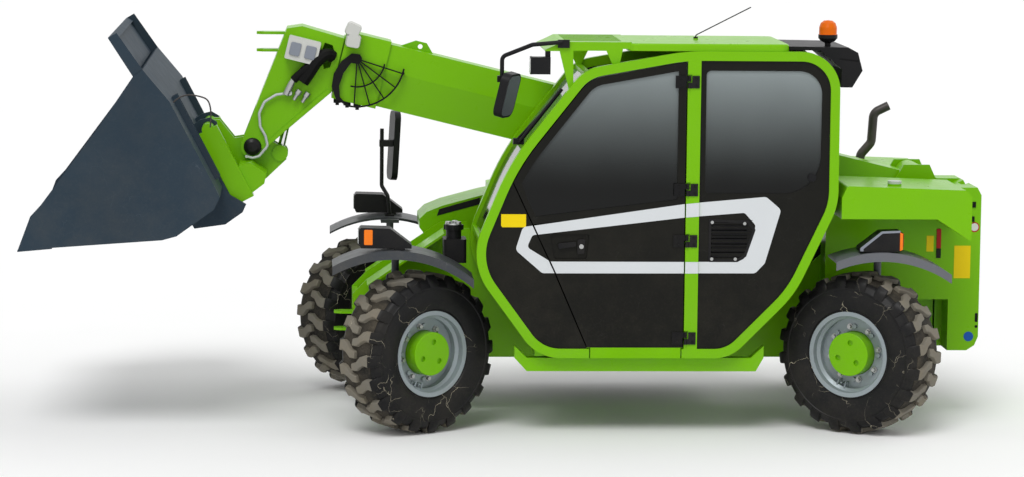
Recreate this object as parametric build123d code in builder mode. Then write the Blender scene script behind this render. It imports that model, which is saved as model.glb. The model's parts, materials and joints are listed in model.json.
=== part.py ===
"""A compact telehandler with a light-material bucket, modelled piece by piece at its real size.

Millimetres. +X is forward, +Y the machine's left, +Z up. The origin lies on the ground, below the
middle of the machine with its boom retracted. All four wheels stand steered for a tight turn.
"""
from build123d import *
from math import cos, sin, radians
import os

# ---- driving dimensions ------------------------------------------------------------------------
FRONT_AXLE_X = 575.0
REAR_AXLE_X = -1960.0
HUB_Z = 417.0  # axle height, which is the tyre's radius
KINGPIN_Y = 580.0  # from the middle plane to a steering pivot
WHEEL_OFFSET = 185.0  # from the steering pivot to the wheel's middle plane
STEER = 36.0  # how far the wheels stand turned

TYRE_RADIUS = 417.0
CASING_RADIUS = 394.0  # between the lugs
LUGS = 20  # on each half of the tread
TYRE_HALF_WIDTH = 153.0
RIM_HALF_WIDTH = 135.0
RIM_FLANGE_RADIUS = 224.0
DISC_T = 50.0  # the wheel disc's middle, outward from the wheel's middle plane
HUB_RADIUS = 113.0
STUD_CIRCLE = 140.0
STUDS = 8

BOOM_PIVOT_X = -2230.0
BOOM_PIVOT_Z = 1275.0
BOOM_ANGLE = 13.5
BOOM_FRONT = 3146.0  # the outer boom's front end, along the boom from its pivot
BOOM_TOP = 15.0
BOOM_BOTTOM = -322.0
BOOM_CREASE = -128.0
BOOM_HALF = 125.0
LUG_U = 2748.0  # the lifting lug on the boom's top
BOOM_WALL = 8.0

TILT_PIVOT_U = 3491.0  # the carriage's pivot, along and across the boom
TILT_PIVOT_W = -686.0
TILT_EAR_U = 3340.0
TILT_EAR_W = -690.0
TILT_BASE_U = 3350.0  # the tilt cylinder's upper pin
TILT_BASE_W = -95.0

LIFT_BASE_X = -2150.0  # the lift cylinder's lower pin on the chassis
LIFT_BASE_Z = 640.0
LIFT_EYE_X = -1215.0  # its rod's eye below the boom
LIFT_EYE_Z = 1075.0

CAB_INNER_Y = 180.0
CAB_OUTER_Y = 900.0
TUBE = 48.0
CHASSIS_PLATE_Y = 150.0
CHASSIS_PLATE = 15.0
BODY_HALF = 335.0
BUCKET_HALF = 930.0

BOOM_DIR = (cos(radians(BOOM_ANGLE)), 0.0, sin(radians(BOOM_ANGLE)))
SIDE = Plane.XZ  # local x is forward, local y is up, and its normal points to the machine's right
BOOM_SIDE = Plane(origin=(BOOM_PIVOT_X, 0, BOOM_PIVOT_Z), x_dir=BOOM_DIR, z_dir=(0, -1, 0))


def boom_point(u, w, y=0.0):
    """The point u along the boom from its pivot, w above that line and y to the left."""
    c, s = BOOM_DIR[0], BOOM_DIR[2]
    return (BOOM_PIVOT_X + u * c - w * s, y, BOOM_PIVOT_Z + u * s + w * c)


def plate(side, outline, y_left, thickness, radius=0.0, mode=Mode.ADD):
    """A plate with an outline seen from the side, reaching from y_left to the right by its thickness."""
    with BuildSketch(side.offset(-y_left)) as face:
        with BuildLine():
            Polyline(*outline, close=True)
        make_face()
        if radius:
            fillet(face.vertices(), radius)
    extrude(face.sketch, amount=thickness, mode=mode)


def pin(side, x, z, radius, y_left, length, mode=Mode.ADD):
    """A round bar across the machine, centred at x, z in the side plane."""
    with BuildSketch(side.offset(-y_left)) as disc:
        with Locations((x, z)):
            Circle(radius)
    extrude(disc.sketch, amount=length, mode=mode)


def block(x0, x1, y0, y1, z0, z1, mode=Mode.ADD):
    """A square-edged block between two corners."""
    with BuildSketch(Plane.XY.offset(z0)) as base:
        with Locations(((x0 + x1) / 2, (y0 + y1) / 2)):
            Rectangle(x1 - x0, y1 - y0)
    extrude(base.sketch, amount=z1 - z0, mode=mode)


def column(x, y, radius, z0, z1, mode=Mode.ADD):
    """An upright round bar."""
    with BuildSketch(Plane.XY.offset(z0)) as disc:
        with Locations((x, y)):
            Circle(radius)
    extrude(disc.sketch, amount=z1 - z0, mode=mode)


def tube_run(points, radius, bend):
    """A bent round bar along straight runs joined by arcs."""
    with BuildLine() as path:
        FilletPolyline(*points, radius=bend)
    with BuildSketch(Plane(origin=path.line @ 0, z_dir=path.line % 0)) as disc:
        Circle(radius)
    sweep(disc.sketch, path=path.line)


def save(builder, name):
    """Labels a finished piece and writes it."""
    builder.part.label = name
    export_step(builder.part, f"parts/{name}.step")


os.makedirs("parts", exist_ok=True)

# ---- wheels, hubs and knuckles -----------------------------------------------------------------
# name, axle position, side (1 left, -1 right), steering angle
WHEELS = (
    ("front_left", FRONT_AXLE_X, 1, STEER),
    ("front_right", FRONT_AXLE_X, -1, STEER),
    ("rear_left", REAR_AXLE_X, 1, -STEER),
    ("rear_right", REAR_AXLE_X, -1, -STEER),
)
# radius, distance from the wheel's middle plane: one half of the tyre's casing
TYRE_SECTION = ((210, 124), (224, 127), (230, 128), (300, 152), (348, 150), (384, 132), (CASING_RADIUS, 96))
# a lug's two runs, from the tread's middle to its shoulder: radius and distance from the middle plane
LUG_CROWN = ((386, -14), (416, -14), (416, 66), (386, 66))
LUG_SHOULDER = ((352, 60), (416, 60), (414, 120), (398, 138), (352, 152), (340, 148))
LUG_WIDTH = 50.0
LUG_STEP = 34.0  # how far the crown's run stands ahead of the shoulder's
# the pressed rim from its outer flange, over the disc, to its inner flange: radius, position
RIM_SECTION = (
    (224, 135), (224, 127), (210, 124), (208, 96), (192, 84), (192, -84), (208, -96), (210, -124),
    (224, -127), (224, -135), (202, -133), (200, -100), (184, -88), (184, 44), (116, 44), (116, 56),
    (184, 56), (184, 88), (200, 100), (202, 133),
)

upright = Plane(origin=(0, 0, 0), x_dir=(1, 0, 0), z_dir=(0, -1, 0))  # radius along x, the wheel's axis along z
with BuildPart() as master:
    with BuildSketch(upright):
        with BuildLine():
            Polyline(*TYRE_SECTION, *[(r, -t) for r, t in reversed(TYRE_SECTION)], close=True)
        make_face()
    revolve(axis=Axis.Z)
    for half in (1, -1):
        with BuildPart(mode=Mode.PRIVATE) as lug:
            for run, ahead in ((LUG_CROWN, LUG_STEP), (LUG_SHOULDER, 0)):
                with BuildSketch(upright.offset(LUG_WIDTH / 2 - ahead)) as profile:
                    with BuildLine():
                        Polyline(*[(r, t * half) for r, t in run], close=True)
                    make_face()
                extrude(profile.sketch, amount=-LUG_WIDTH)
        with PolarLocations(0, LUGS, start_angle=90 * (1 - half) / LUGS):
            add(lug.part)
tyre_shape = master.part

for name, axle_x, side, steer in WHEELS:
    turn = radians(steer)
    out = (-sin(turn) * side, cos(turn) * side, 0)
    fore = (cos(turn), sin(turn), 0)
    king = (axle_x, KINGPIN_Y * side, HUB_Z)
    centre = (king[0] + WHEEL_OFFSET * out[0], king[1] + WHEEL_OFFSET * out[1], HUB_Z)
    spin = Axis(centre, out)
    section = Plane(origin=centre, x_dir=(0, 0, 1), z_dir=(-out[1], out[0], 0))
    face = Plane(origin=centre, x_dir=fore, z_dir=out)

    with BuildPart() as tyre:
        with Locations(Plane(origin=centre, x_dir=fore, z_dir=out).location):
            add(tyre_shape)
    save(tyre, f"{name}_tyre")

    with BuildPart() as rim:
        with BuildSketch(section):
            with BuildLine():
                Polyline(*RIM_SECTION, close=True)
            make_face()
        revolve(axis=spin)
        with BuildSketch(face.offset(56)):
            with PolarLocations(STUD_CIRCLE, STUDS):
                RegularPolygon(13, 6)
        extrude(amount=12)
    save(rim, f"{name}_rim")

    with BuildPart() as hub:
        with BuildSketch(face.offset(-62)):
            Circle(88)
        extrude(amount=100)
        with BuildSketch(face.offset(26)):
            Circle(165)
        extrude(amount=18)
        with BuildSketch(face.offset(44)):
            Circle(HUB_RADIUS)
        extrude(amount=RIM_HALF_WIDTH - 46)
        fillet(hub.edges().filter_by(GeomType.CIRCLE).sort_by(lambda e: -(e.center() - Vector(*centre)).dot(Vector(*out)))[0], 4)
        with BuildSketch(face.offset(RIM_HALF_WIDTH - 14)):
            with PolarLocations(62, 3, start_angle=20):
                Circle(15)
        extrude(amount=20, mode=Mode.SUBTRACT)
        with BuildSketch(face.offset(-63)):
            Circle(46)
        extrude(amount=72, mode=Mode.SUBTRACT)
    save(hub, f"{name}_hub")

    with BuildPart() as knuckle:
        column(king[0], king[1], 62, HUB_Z - 88, HUB_Z + 88)
        column(king[0], king[1], 26, HUB_Z - 124, HUB_Z + 124)
        with BuildSketch(face.offset(-WHEEL_OFFSET)):
            Circle(70)
        extrude(amount=WHEEL_OFFSET - 68)
        with BuildSketch(face.offset(-70)):
            Circle(45)
        extrude(amount=74)
        arm = Plane(origin=(king[0], king[1], HUB_Z - 70), x_dir=fore, z_dir=(0, 0, 1))
        with BuildSketch(arm):
            with Locations((-75, 10 * side)):
                SlotOverall(190, 56)
        extrude(amount=24)
        with BuildSketch(arm.offset(-1)):
            with Locations((-142, 10 * side)):
                Circle(12)
        extrude(amount=26, mode=Mode.SUBTRACT)
    save(knuckle, f"{name}_knuckle")

# ---- axle beams --------------------------------------------------------------------------------
with BuildPart() as axles:
    for axle_x in (FRONT_AXLE_X, REAR_AXLE_X):
        with BuildSketch(Plane.XZ.offset(-480)):
            with Locations((axle_x, HUB_Z)):
                RectangleRounded(120, 130, 24)
        extrude(amount=960)
        with BuildSketch(Plane.YZ.offset(axle_x - 120)):
            with Locations((0, HUB_Z)):
                Circle(140)
        extrude(amount=240)
        for side in (1, -1):
            block(axle_x - 60, axle_x + 60, min(430 * side, 486 * side), max(430 * side, 486 * side),
                  HUB_Z - 124, HUB_Z + 124)
            for z in (HUB_Z + 94, HUB_Z - 124):
                block(axle_x - 60, axle_x + 60, min(430 * side, 580 * side), max(430 * side, 580 * side),
                      z, z + 30)
                column(axle_x, KINGPIN_Y * side, 60, z, z + 30)
                column(axle_x, KINGPIN_Y * side, 27, z - 1, z + 31, mode=Mode.SUBTRACT)
save(axles, "axle_beams")

# ---- chassis frame -----------------------------------------------------------------------------
CHASSIS_OUTLINE = (
    (790, 330), (790, 640), (717, 716), (313, 993), (170, 993), (60, 720), (-1560, 720), (-1900, 1010),
    (-2100, 1240), (-2160, 1345), (-2300, 1345), (-2335, 1270), (-2335, 400), (-1300, 300), (300, 300),
)
# the cross members between the plates: x from, x to, z from, z to
CROSS_MEMBERS = (
    (760, 790, 340, 640), (380, 420, 540, 600), (-120, -60, 360, 560), (-1180, -1120, 360, 560),
    (-1700, -1640, 500, 600), (-2335, -2300, 420, 900), (-1640, 300, 300, 316),
)
with BuildPart() as chassis:
    for side in (1, -1):
        near = CHASSIS_PLATE_Y + CHASSIS_PLATE if side > 0 else -CHASSIS_PLATE_Y
        plate(SIDE, CHASSIS_OUTLINE, near, CHASSIS_PLATE)
    for axle_x in (FRONT_AXLE_X, REAR_AXLE_X):
        block(axle_x - 60, axle_x + 60, -220, 220, HUB_Z - 65, HUB_Z + 65, mode=Mode.SUBTRACT)
save(chassis, "chassis_frame")

with BuildPart() as members:
    for x0, x1, z0, z1 in CROSS_MEMBERS:
        block(x0, x1, -CHASSIS_PLATE_Y, CHASSIS_PLATE_Y, z0, z1)
    pin(SIDE, BOOM_PIVOT_X, BOOM_PIVOT_Z, 30, CHASSIS_PLATE_Y, 2 * CHASSIS_PLATE_Y)
    pin(SIDE, LIFT_BASE_X, LIFT_BASE_Z, 24, CHASSIS_PLATE_Y, 2 * CHASSIS_PLATE_Y)
    # the towing clevis: two plates with an upright bore
    for z in (425, 516):
        with BuildSketch(Plane.XY.offset(z)) as tongue:
            with BuildLine():
                Polyline((790, 45), (850, 45), (888, 24), (888, -24), (850, -45), (790, -45), close=True)
            make_face()
            with Locations((862, 0)):
                Circle(12, mode=Mode.SUBTRACT)
        extrude(tongue.sketch, amount=12)
save(members, "cross_members")

with BuildPart() as guards:
    # the sloping flanges on the chassis plates' front, wide on the left
    plate(SIDE, ((717, 716), (313, 993), (307, 983), (710, 706)), 400, 235)
    plate(SIDE, ((717, 716), (505, 861), (499, 851), (710, 706)), -165, 119)
save(guards, "front_guards")

with BuildPart() as sill:
    # the sill below the cab on its two outriggers
    plate(SIDE, ((-36, 462), (-36, 400), (-100, 330), (-1290, 330), (-1330, 400), (-1330, 462), (-1262, 400),
                 (-100, 400)), 850, 60)
    for x in (-340, -1060):
        block(x - 40, x + 40, CHASSIS_PLATE_Y + CHASSIS_PLATE, 791, 330, 390)
save(sill, "cab_sill")

# ---- engine and the body behind and beside it --------------------------------------------------
with BuildPart() as engine:
    block(-1168, -420, -640, -230, 346, 890)
save(engine, "engine_block")

HOOD_REAR_X = -1330.0
HOOD_INNER_Y = -200.0
HOOD_OUTER_Y = -900.0
HOOD_SPLIT_Z = 905.0
# the side of the engine cover's lid: its nose, its slope and its flat top
HOOD_OUTLINE = (
    (HOOD_REAR_X, HOOD_SPLIT_Z + 6), (390, HOOD_SPLIT_Z + 6), (424, 955), (424, 1002), (385, 1040),
    (300, 1075), (95, 1131), (-420, 1240), (HOOD_REAR_X, 1240),
)
HOOD_STEP_X = 30.0  # ahead of this the cover is narrower, beside the fender
HOOD_STEP_Y = -600.0
with BuildPart() as hood:
    plate(SIDE, HOOD_OUTLINE, HOOD_INNER_Y, HOOD_INNER_Y - HOOD_OUTER_Y)
    block(HOOD_STEP_X, 500, HOOD_OUTER_Y - 1, HOOD_STEP_Y, 800, 1400, mode=Mode.SUBTRACT)
    fillet(hood.edges().filter_by(Axis.Y).group_by(Axis.Z)[-1], 40)
    with BuildPart(mode=Mode.PRIVATE) as hollow:
        plate(SIDE, ((HOOD_REAR_X + 5, 900), (386, 900), (418, 957), (418, 998), (381, 1034), (298, 1069),
                     (94, 1125), (-420, 1234), (HOOD_REAR_X + 5, 1234)),
              HOOD_INNER_Y - 5, HOOD_INNER_Y - HOOD_OUTER_Y - 10)
        block(HOOD_STEP_X - 5, 500, HOOD_OUTER_Y - 1, HOOD_STEP_Y + 5, 800, 1400, mode=Mode.SUBTRACT)
    add(hollow.part, mode=Mode.SUBTRACT)
    for i in range(9):
        x = -1180 + 66 * i
        block(x, x + 34, HOOD_OUTER_Y - 1, HOOD_OUTER_Y + 6, 1010, 1180, mode=Mode.SUBTRACT)
save(hood, "engine_hood")

with BuildPart() as bay:
    # side skirt, the shelf below the cover's nose, the bay's floor and its two ends
    skirt = ((HOOD_REAR_X, HOOD_SPLIT_Z), (-1290, 420), (-1180, 340), (-120, 340), (-20, 560), (20, 870),
             (20, HOOD_SPLIT_Z))
    plate(SIDE, skirt, HOOD_OUTER_Y + 6, 6)
    plate(SIDE, ((14, 866), (385, 866), (385, 872), (14, 872)), -200, 400)
    plate(SIDE, ((385, 866), (391, 866), (391, HOOD_SPLIT_Z), (385, HOOD_SPLIT_Z)), -200, 400)
    plate(SIDE, ((20, 872), (385, 872), (385, HOOD_SPLIT_Z), (20, HOOD_SPLIT_Z)), HOOD_STEP_Y + 6, 6)
    plate(SIDE, ((14, 866), (20, 866), (20, HOOD_SPLIT_Z), (14, HOOD_SPLIT_Z)), -594, 306)
    plate(SIDE, ((-1180, 340), (-120, 340), (-120, 346), (-1180, 346)), -166, 728)
    plate(SIDE, ((-120, 340), (-20, 560), (20, 870), (14, 870), (-26, 562), (-126, 342)), -166, 728)
    plate(SIDE, ((HOOD_REAR_X, HOOD_SPLIT_Z), (-1290, 420), (-1180, 340), (-1176, 348), (-1284, 424),
                 (HOOD_REAR_X + 6, HOOD_SPLIT_Z)), -166, 728)
save(bay, "engine_bay")

# the rear body: the counterweight between the wheels and the box over each rear wheel
REAR_END_X = -2552.0
REAR_OUTLINE = (
    (-1720, 640), (-1720, 1131), (-2215, 1131), (-2385, 1022), (-2400, 1022), (-2400, 1240), (-2530, 1240),
    (REAR_END_X, 1200), (REAR_END_X, 440), (-2532, 392), (-2490, 365), (-2385, 365), (-2385, 640),
)
TAIL_OUTLINE = (
    (-2345, 900), (-2400, 1050), (-2400, 1180), (-2530, 1240), (REAR_END_X, 1200), (REAR_END_X, 440),
    (-2532, 392), (-2490, 365), (-2345, 365),
)
JAW_BORE_X = -2527.0
with BuildPart() as rear:
    for y_left in (BODY_HALF, -CHASSIS_PLATE_Y - CHASSIS_PLATE):
        plate(SIDE, REAR_OUTLINE, y_left, BODY_HALF - CHASSIS_PLATE_Y - CHASSIS_PLATE)
    plate(SIDE, TAIL_OUTLINE, 165, 330)
    # the towing jaw, in the groove down the middle of the tail: two plates with an upright bore
    block(REAR_END_X - 1, -2500, -75, 75, 300, 1300, mode=Mode.SUBTRACT)
    for z in (470, 540):
        block(REAR_END_X, -2499, -76, 76, z, z + 20)
    column(JAW_BORE_X, 0, 14, 460, 570, mode=Mode.SUBTRACT)
save(rear, "rear_body")

BOX_OUTLINE = ((-1717, 1131), (-1717, 1240), (-1745, 1302), (-2362, 1282), (-2395, 1250), (-2395, 1022),
               (-2385, 1022), (-2215, 1131))
with BuildPart() as boxes:
    for y_left in (890, -BODY_HALF):
        plate(SIDE, BOX_OUTLINE, y_left, 890 - BODY_HALF)
    fillet(boxes.edges().filter_by(Axis.Y).group_by(Axis.Z)[-1], 18)
    column(-2010, 760, 36, 1280, 1318)
save(boxes, "side_boxes")

with BuildPart() as exhaust:
    tube_run(((-2040, -560, 1293.4), (-2040, -560, 1330), (-2100, -560, 1400), (-2110, -560, 1565), (-2192, -560, 1605)), 25, 50)
save(exhaust, "exhaust_pipe")

with BuildPart() as tank:
    block(205, 325, 450, 612, 862, 985)
    fillet(tank.edges().filter_by(Axis.Z), 18)
    column(270, 540, 40, 980, 1030)
    column(270, 540, 47, 1030, 1056)
    # the ribs of its cap
    for x, y in ((-46, 0), (46, 0), (0, -46), (0, 46)):
        column(270 + x, 540 + y, 6, 1030, 1056)
save(tank, "front_tank")

# ---- cab ---------------------------------------------------------------------------------------
# corners of the cab's side frame, front bottom first: x, z, bend radius
CAB_CORNERS = (
    (210, 901, 314), (-153, 406, 230), (-1150, 406, 200), (-1480, 740, 600), (-1696, 1200, 350),
    (-1694, 1992, 200), (-897, 1992, 900), (-378, 1897, 220), (-1, 1417, 1200),
)


def cab_outline(side_plane):
    """The cab's side, its corners rounded, as a sketch on a side plane."""
    with BuildSketch(side_plane) as area:
        with BuildLine():
            FilletPolyline(
                *[(x, z) for x, z, bend in CAB_CORNERS],
                radius=[bend for x, z, bend in CAB_CORNERS],
                close=True,
            )
        make_face()
    return area.sketch


DOOR_HINGE_X = -915.0
DOOR_HINGE_Y = 905.0
PILLAR_FRONT = -908.0
PILLAR_REAR = -976.0
SPLIT = ((PILLAR_FRONT, 1195), (-123, 1095))  # the line between the two door leaves
DOOR_EDGE = ((14, 1387), (-123, 1098), (-228, 875), (-405, 470))  # the door's front edge, from its upper leaf down
BOTTOM_CUT = (-418.0, -897.0)  # the stretch of bottom tube that the lower leaf carries
GAP = 6.0
HINGES_Z = (510, 1015, 1280, 1835)  # the lower leaf's two, then the upper leaf's

with BuildPart() as cab:
    for y_left in (CAB_OUTER_Y, CAB_INNER_Y + TUBE):
        ring = cab_outline(SIDE.offset(-y_left))
        extrude(ring, amount=TUBE)
        extrude(offset(ring, amount=-TUBE, mode=Mode.PRIVATE), amount=TUBE, mode=Mode.SUBTRACT)
    block(PILLAR_REAR, PILLAR_FRONT, CAB_OUTER_Y - TUBE, CAB_OUTER_Y, 440, 1975)
    # the fixed halves of the door hinges, each with the lower half of its barrel and room for the upper half
    for z in HINGES_Z:
        block(-929, PILLAR_FRONT + 1, CAB_OUTER_Y - 9, CAB_OUTER_Y + 1, z - 2, z + 38, mode=Mode.SUBTRACT)
        block(PILLAR_REAR + 8, DOOR_HINGE_X - 15, CAB_OUTER_Y, CAB_OUTER_Y + 6, z - 32, z + 32)
        block(PILLAR_REAR + 8, DOOR_HINGE_X, CAB_OUTER_Y, CAB_OUTER_Y + 6, z - 32, z - 3)
        column(DOOR_HINGE_X, DOOR_HINGE_Y, 8, z - 32, z - 3)
    block(BOTTOM_CUT[1], BOTTOM_CUT[0], CAB_OUTER_Y - TUBE - 1, CAB_OUTER_Y + 1, 380, 460, mode=Mode.SUBTRACT)
save(cab, "cab_frame")

with BuildPart() as rails:
    # from the inner side frame to the outer: their middle's x and z, and their depth and height
    for x, z, deep, high in (
        (-398, 1863, 36, 30), (-1500, 1966, 60, 40), (-1670, 1350, 40, 40), (-1130, 430, 40, 40),
        (-160, 430, 40, 40), (137, 1004, 34, 30),
    ):
        block(x - deep / 2, x + deep / 2, CAB_INNER_Y + TUBE, CAB_OUTER_Y - TUBE, z - high / 2, z + high / 2)
save(rails, "cab_rails")

PANEL_OUTER = CAB_OUTER_Y - 10
PANEL = 28.0


def inside_ring(side_plane, inset):
    """The cab's side, drawn in by inset all round."""
    return offset(cab_outline(side_plane), amount=-inset, mode=Mode.PRIVATE)


FAR = 3000.0
# the quarter window's corners: x, z, bend radius
QUARTER_WINDOW = ((-1005, 1893, 24), (-1603, 1893, 120), (-1603, 1262, 190), (-1005, 1262, 24))
RIGHT_WINDOW = ((-1590, 1250), (-1625, 1330), (-1625, 1740), (-1480, 1905), (-900, 1905), (-450, 1820),
                (-90, 1400), (-30, 1250))


def bent_plate(corners, y_left, thickness, mode=Mode.ADD):
    """A plate with its own bend at each corner, seen from the side."""
    with BuildSketch(SIDE.offset(-y_left)) as face:
        with BuildLine():
            FilletPolyline(*[(x, z) for x, z, bend in corners], radius=[bend for x, z, bend in corners], close=True)
        make_face()
    extrude(face.sketch, amount=thickness, mode=mode)


with BuildPart() as panels:
    # the fixed panel ahead of the door's edge
    extrude(inside_ring(SIDE.offset(-PANEL_OUTER), TUBE), amount=PANEL)
    plate(SIDE, (*[(x + GAP, z) for x, z in DOOR_EDGE], (DOOR_EDGE[-1][0] - 60, 300), (-FAR, 300), (-FAR, FAR), (60, FAR)),
          PANEL_OUTER + 1, PANEL + 2, mode=Mode.SUBTRACT)
    # the quarter panel behind the pillar, with its window and the slots of its air intake
    with BuildPart(mode=Mode.PRIVATE) as quarter:
        extrude(inside_ring(SIDE.offset(-PANEL_OUTER), TUBE), amount=PANEL)
        block(PILLAR_REAR, FAR, 0, FAR, 0, FAR, mode=Mode.SUBTRACT)
        bent_plate(QUARTER_WINDOW, PANEL_OUTER + 1, PANEL + 2, mode=Mode.SUBTRACT)
        for i in range(8):
            block(-1228 + 4 * (i < 2), -1042, PANEL_OUTER - PANEL - 1, PANEL_OUTER + 1, 928 + 23 * i, 940 + 23 * i,
                  mode=Mode.SUBTRACT)
    add(quarter.part)
save(panels, "cab_side_panels")

WALL_WIDTH = CAB_OUTER_Y - 2 * TUBE - CAB_INNER_Y
with BuildPart() as floor:
    # floor, toe board and the wall behind the seat up to the rear window
    block(-1168, -146, CAB_INNER_Y + TUBE, CAB_OUTER_Y - TUBE, 452, 470)
    plate(SIDE, ((-146, 452), (114, 944), (136, 989), (120, 989), (98, 950), (-160, 462)), CAB_OUTER_Y - TUBE, WALL_WIDTH)
    plate(SIDE, ((-1168, 452), (-1440, 740), (-1646, 1180), (-1646, 1330), (-1630, 1330), (-1630, 1184), (-1427, 750),
                 (-1160, 468)), CAB_OUTER_Y - TUBE, WALL_WIDTH)
    # its feet on the sill's outriggers
    for x in (-340, -1060):
        for y in (300, 760):
            column(x, y, 28, 390, 453)
save(floor, "cab_floor")

with BuildPart() as walls:
    extrude(inside_ring(SIDE.offset(-CAB_INNER_Y - TUBE), TUBE), amount=20)
    plate(SIDE, RIGHT_WINDOW, CAB_INNER_Y + TUBE + 1, 22, 30, mode=Mode.SUBTRACT)
save(walls, "cab_walls")

with BuildPart() as windows:
    # quarter window, right window, rear window and the curved windscreen
    bent_plate(QUARTER_WINDOW, PANEL_OUTER - 8, 6)
    plate(SIDE, RIGHT_WINDOW, CAB_INNER_Y + TUBE - 6, 6, 30)
    block(-1646, -1640, CAB_INNER_Y + TUBE, CAB_OUTER_Y - TUBE, 1372, 1780)
    with BuildPart(mode=Mode.PRIVATE) as shield:
        band = SIDE.offset(-CAB_OUTER_Y + TUBE)
        extrude(inside_ring(band, 20), amount=WALL_WIDTH)
        extrude(inside_ring(band, 28), amount=WALL_WIDTH, mode=Mode.SUBTRACT)
        block(-FAR, -379.5, 0, FAR, 0, FAR, mode=Mode.SUBTRACT)
        block(-FAR, FAR, 0, FAR, 0, 1019.5, mode=Mode.SUBTRACT)
    add(shield.part)
save(windows, "cab_windows")

LEAF_OUTER = CAB_OUTER_Y - 4
with BuildPart() as lower_leaf:
    plate(SIDE, ((PILLAR_FRONT + GAP, 1195 - GAP), (-126, 1089), (-230, 873), (-405, 470), (-405, 460),
                 (PILLAR_FRONT + GAP, 460)), LEAF_OUTER, 34)
    plate(SIDE, ((-209, 1050), (-414, 1050), (-400, 919), (-232, 919)), LEAF_OUTER + 1, 13, 14, mode=Mode.SUBTRACT)
    block(BOTTOM_CUT[1] + GAP, BOTTOM_CUT[0] - GAP, CAB_OUTER_Y - TUBE, CAB_OUTER_Y, 406, 462)
    for z in HINGES_Z[:2]:
        block(DOOR_HINGE_X + 16, DOOR_HINGE_X + 70, LEAF_OUTER, LEAF_OUTER + 7, z - 32, z + 32)
        block(DOOR_HINGE_X, DOOR_HINGE_X + 17, DOOR_HINGE_Y - 5, DOOR_HINGE_Y - 2, z + 3, z + 32)
        column(DOOR_HINGE_X, DOOR_HINGE_Y, 8, z + 3, z + 32)
save(lower_leaf, "door_lower")

# what lies behind the pillar and below the split, as one outline to cut from each leaf's frame and glass
LEAF_CUT = ((PILLAR_FRONT + GAP, FAR), (PILLAR_FRONT + GAP, 1195), (-123, 1098), (14, 1387), (400, 1387), (400, 0), (-FAR, 0),
            (-FAR, FAR))
# what lies outside the upper leaf's pane, behind, below and ahead of it
PANE_CUT = ((PILLAR_FRONT + GAP + 40, FAR), (PILLAR_FRONT + GAP + 40, 1229), (-135, 1138), (-92, 1227), (-62, 1314),
            (400, 1314), (400, 0), (-FAR, 0), (-FAR, FAR))
with BuildPart() as upper_leaf:
    extrude(inside_ring(SIDE.offset(-LEAF_OUTER), TUBE + GAP), amount=30)
    plate(SIDE, LEAF_CUT, LEAF_OUTER + 1, 32, mode=Mode.SUBTRACT)
    with BuildPart(mode=Mode.PRIVATE) as pane_hole:
        extrude(inside_ring(SIDE.offset(-LEAF_OUTER - 1), TUBE + GAP + 40), amount=32)
        plate(SIDE, PANE_CUT, LEAF_OUTER + 2, 36, mode=Mode.SUBTRACT)
    add(pane_hole.part, mode=Mode.SUBTRACT)
    for z in HINGES_Z[2:]:
        block(DOOR_HINGE_X + 16, DOOR_HINGE_X + 70, LEAF_OUTER, LEAF_OUTER + 7, z - 32, z + 32)
        block(DOOR_HINGE_X, DOOR_HINGE_X + 17, DOOR_HINGE_Y - 5, DOOR_HINGE_Y - 2, z + 3, z + 32)
        column(DOOR_HINGE_X, DOOR_HINGE_Y, 8, z + 3, z + 32)
save(upper_leaf, "door_upper")

with BuildPart() as leaf_glass:
    with Locations((0, -10, 0)):
        add(pane_hole.part)
    block(-FAR, FAR, 0, LEAF_OUTER - 16, 0, FAR, mode=Mode.SUBTRACT)
    block(-FAR, FAR, LEAF_OUTER - 10, FAR, 0, FAR, mode=Mode.SUBTRACT)
save(leaf_glass, "door_glass")

with BuildPart() as roof:
    with BuildSketch(Plane.XY.offset(1992)):
        with Locations((-1016, 525)):
            RectangleRounded(832, 730, 50)
    extrude(amount=38)
    fillet(roof.faces().sort_by(Axis.Z)[-1].edges(), 10)
    # the slotted guard over the windscreen's top
    plate(SIDE, ((-175, 1987), (-175, 1993), (-264, 2035), (-615, 2035), (-615, 2023), (-270, 2023), (-190, 1987)), 860, 660)
    plate(SIDE, ((-620, 1994), (-620, 2035), (-608, 2035), (-608, 1994)), 860, 660)
    for i in range(7):
        block(-575, -285, 250 + 82 * i, 305 + 82 * i, 1900, 2100, mode=Mode.SUBTRACT)
    # its two side plates, each standing on the cab's frame
    plate(SIDE, ((-175, 1987), (-175, 1993), (-264, 2035), (-615, 2035), (-615, 2000), (-575, 2000), (-560, 1930.31),
                 (-520, 1922.99), (-490, 1990), (-320, 1990), (-322, 1825.8), (-298, 1795.2), (-250, 1987)), 872, 12)
    plate(SIDE, ((-175, 1987), (-175, 1993), (-264, 2035), (-615, 2035), (-615, 2000), (-470, 2000), (-412, 1878),
                 (-384, 1878), (-330, 1985)), 240, 12)
    # the antenna
    tube_run(((-988, 505, 2028), (-988, 505, 2052), (-1276, 505, 2200)), 3, 12)
    column(-988, 505, 12, 2028, 2044)
save(roof, "cab_roof")

with BuildPart() as housing:
    plate(SIDE, ((-1438, 1996), (-1438, 2016), (-1745, 2012), (-1795, 1985), (-1820, 1893), (-1768, 1806),
                 (-1712, 1806), (-1712, 1900), (-1600, 1996)), 820, 590)
    # a groove between its lid and its tray
    plate(SIDE, ((-1700, 1950), (-1900, 1925), (-1900, 1933), (-1700, 1958)), 821, 7, mode=Mode.SUBTRACT)
    block(-1520, -1480, 300, 750, 1986, 2000)
save(housing, "roof_rear_housing")

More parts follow.
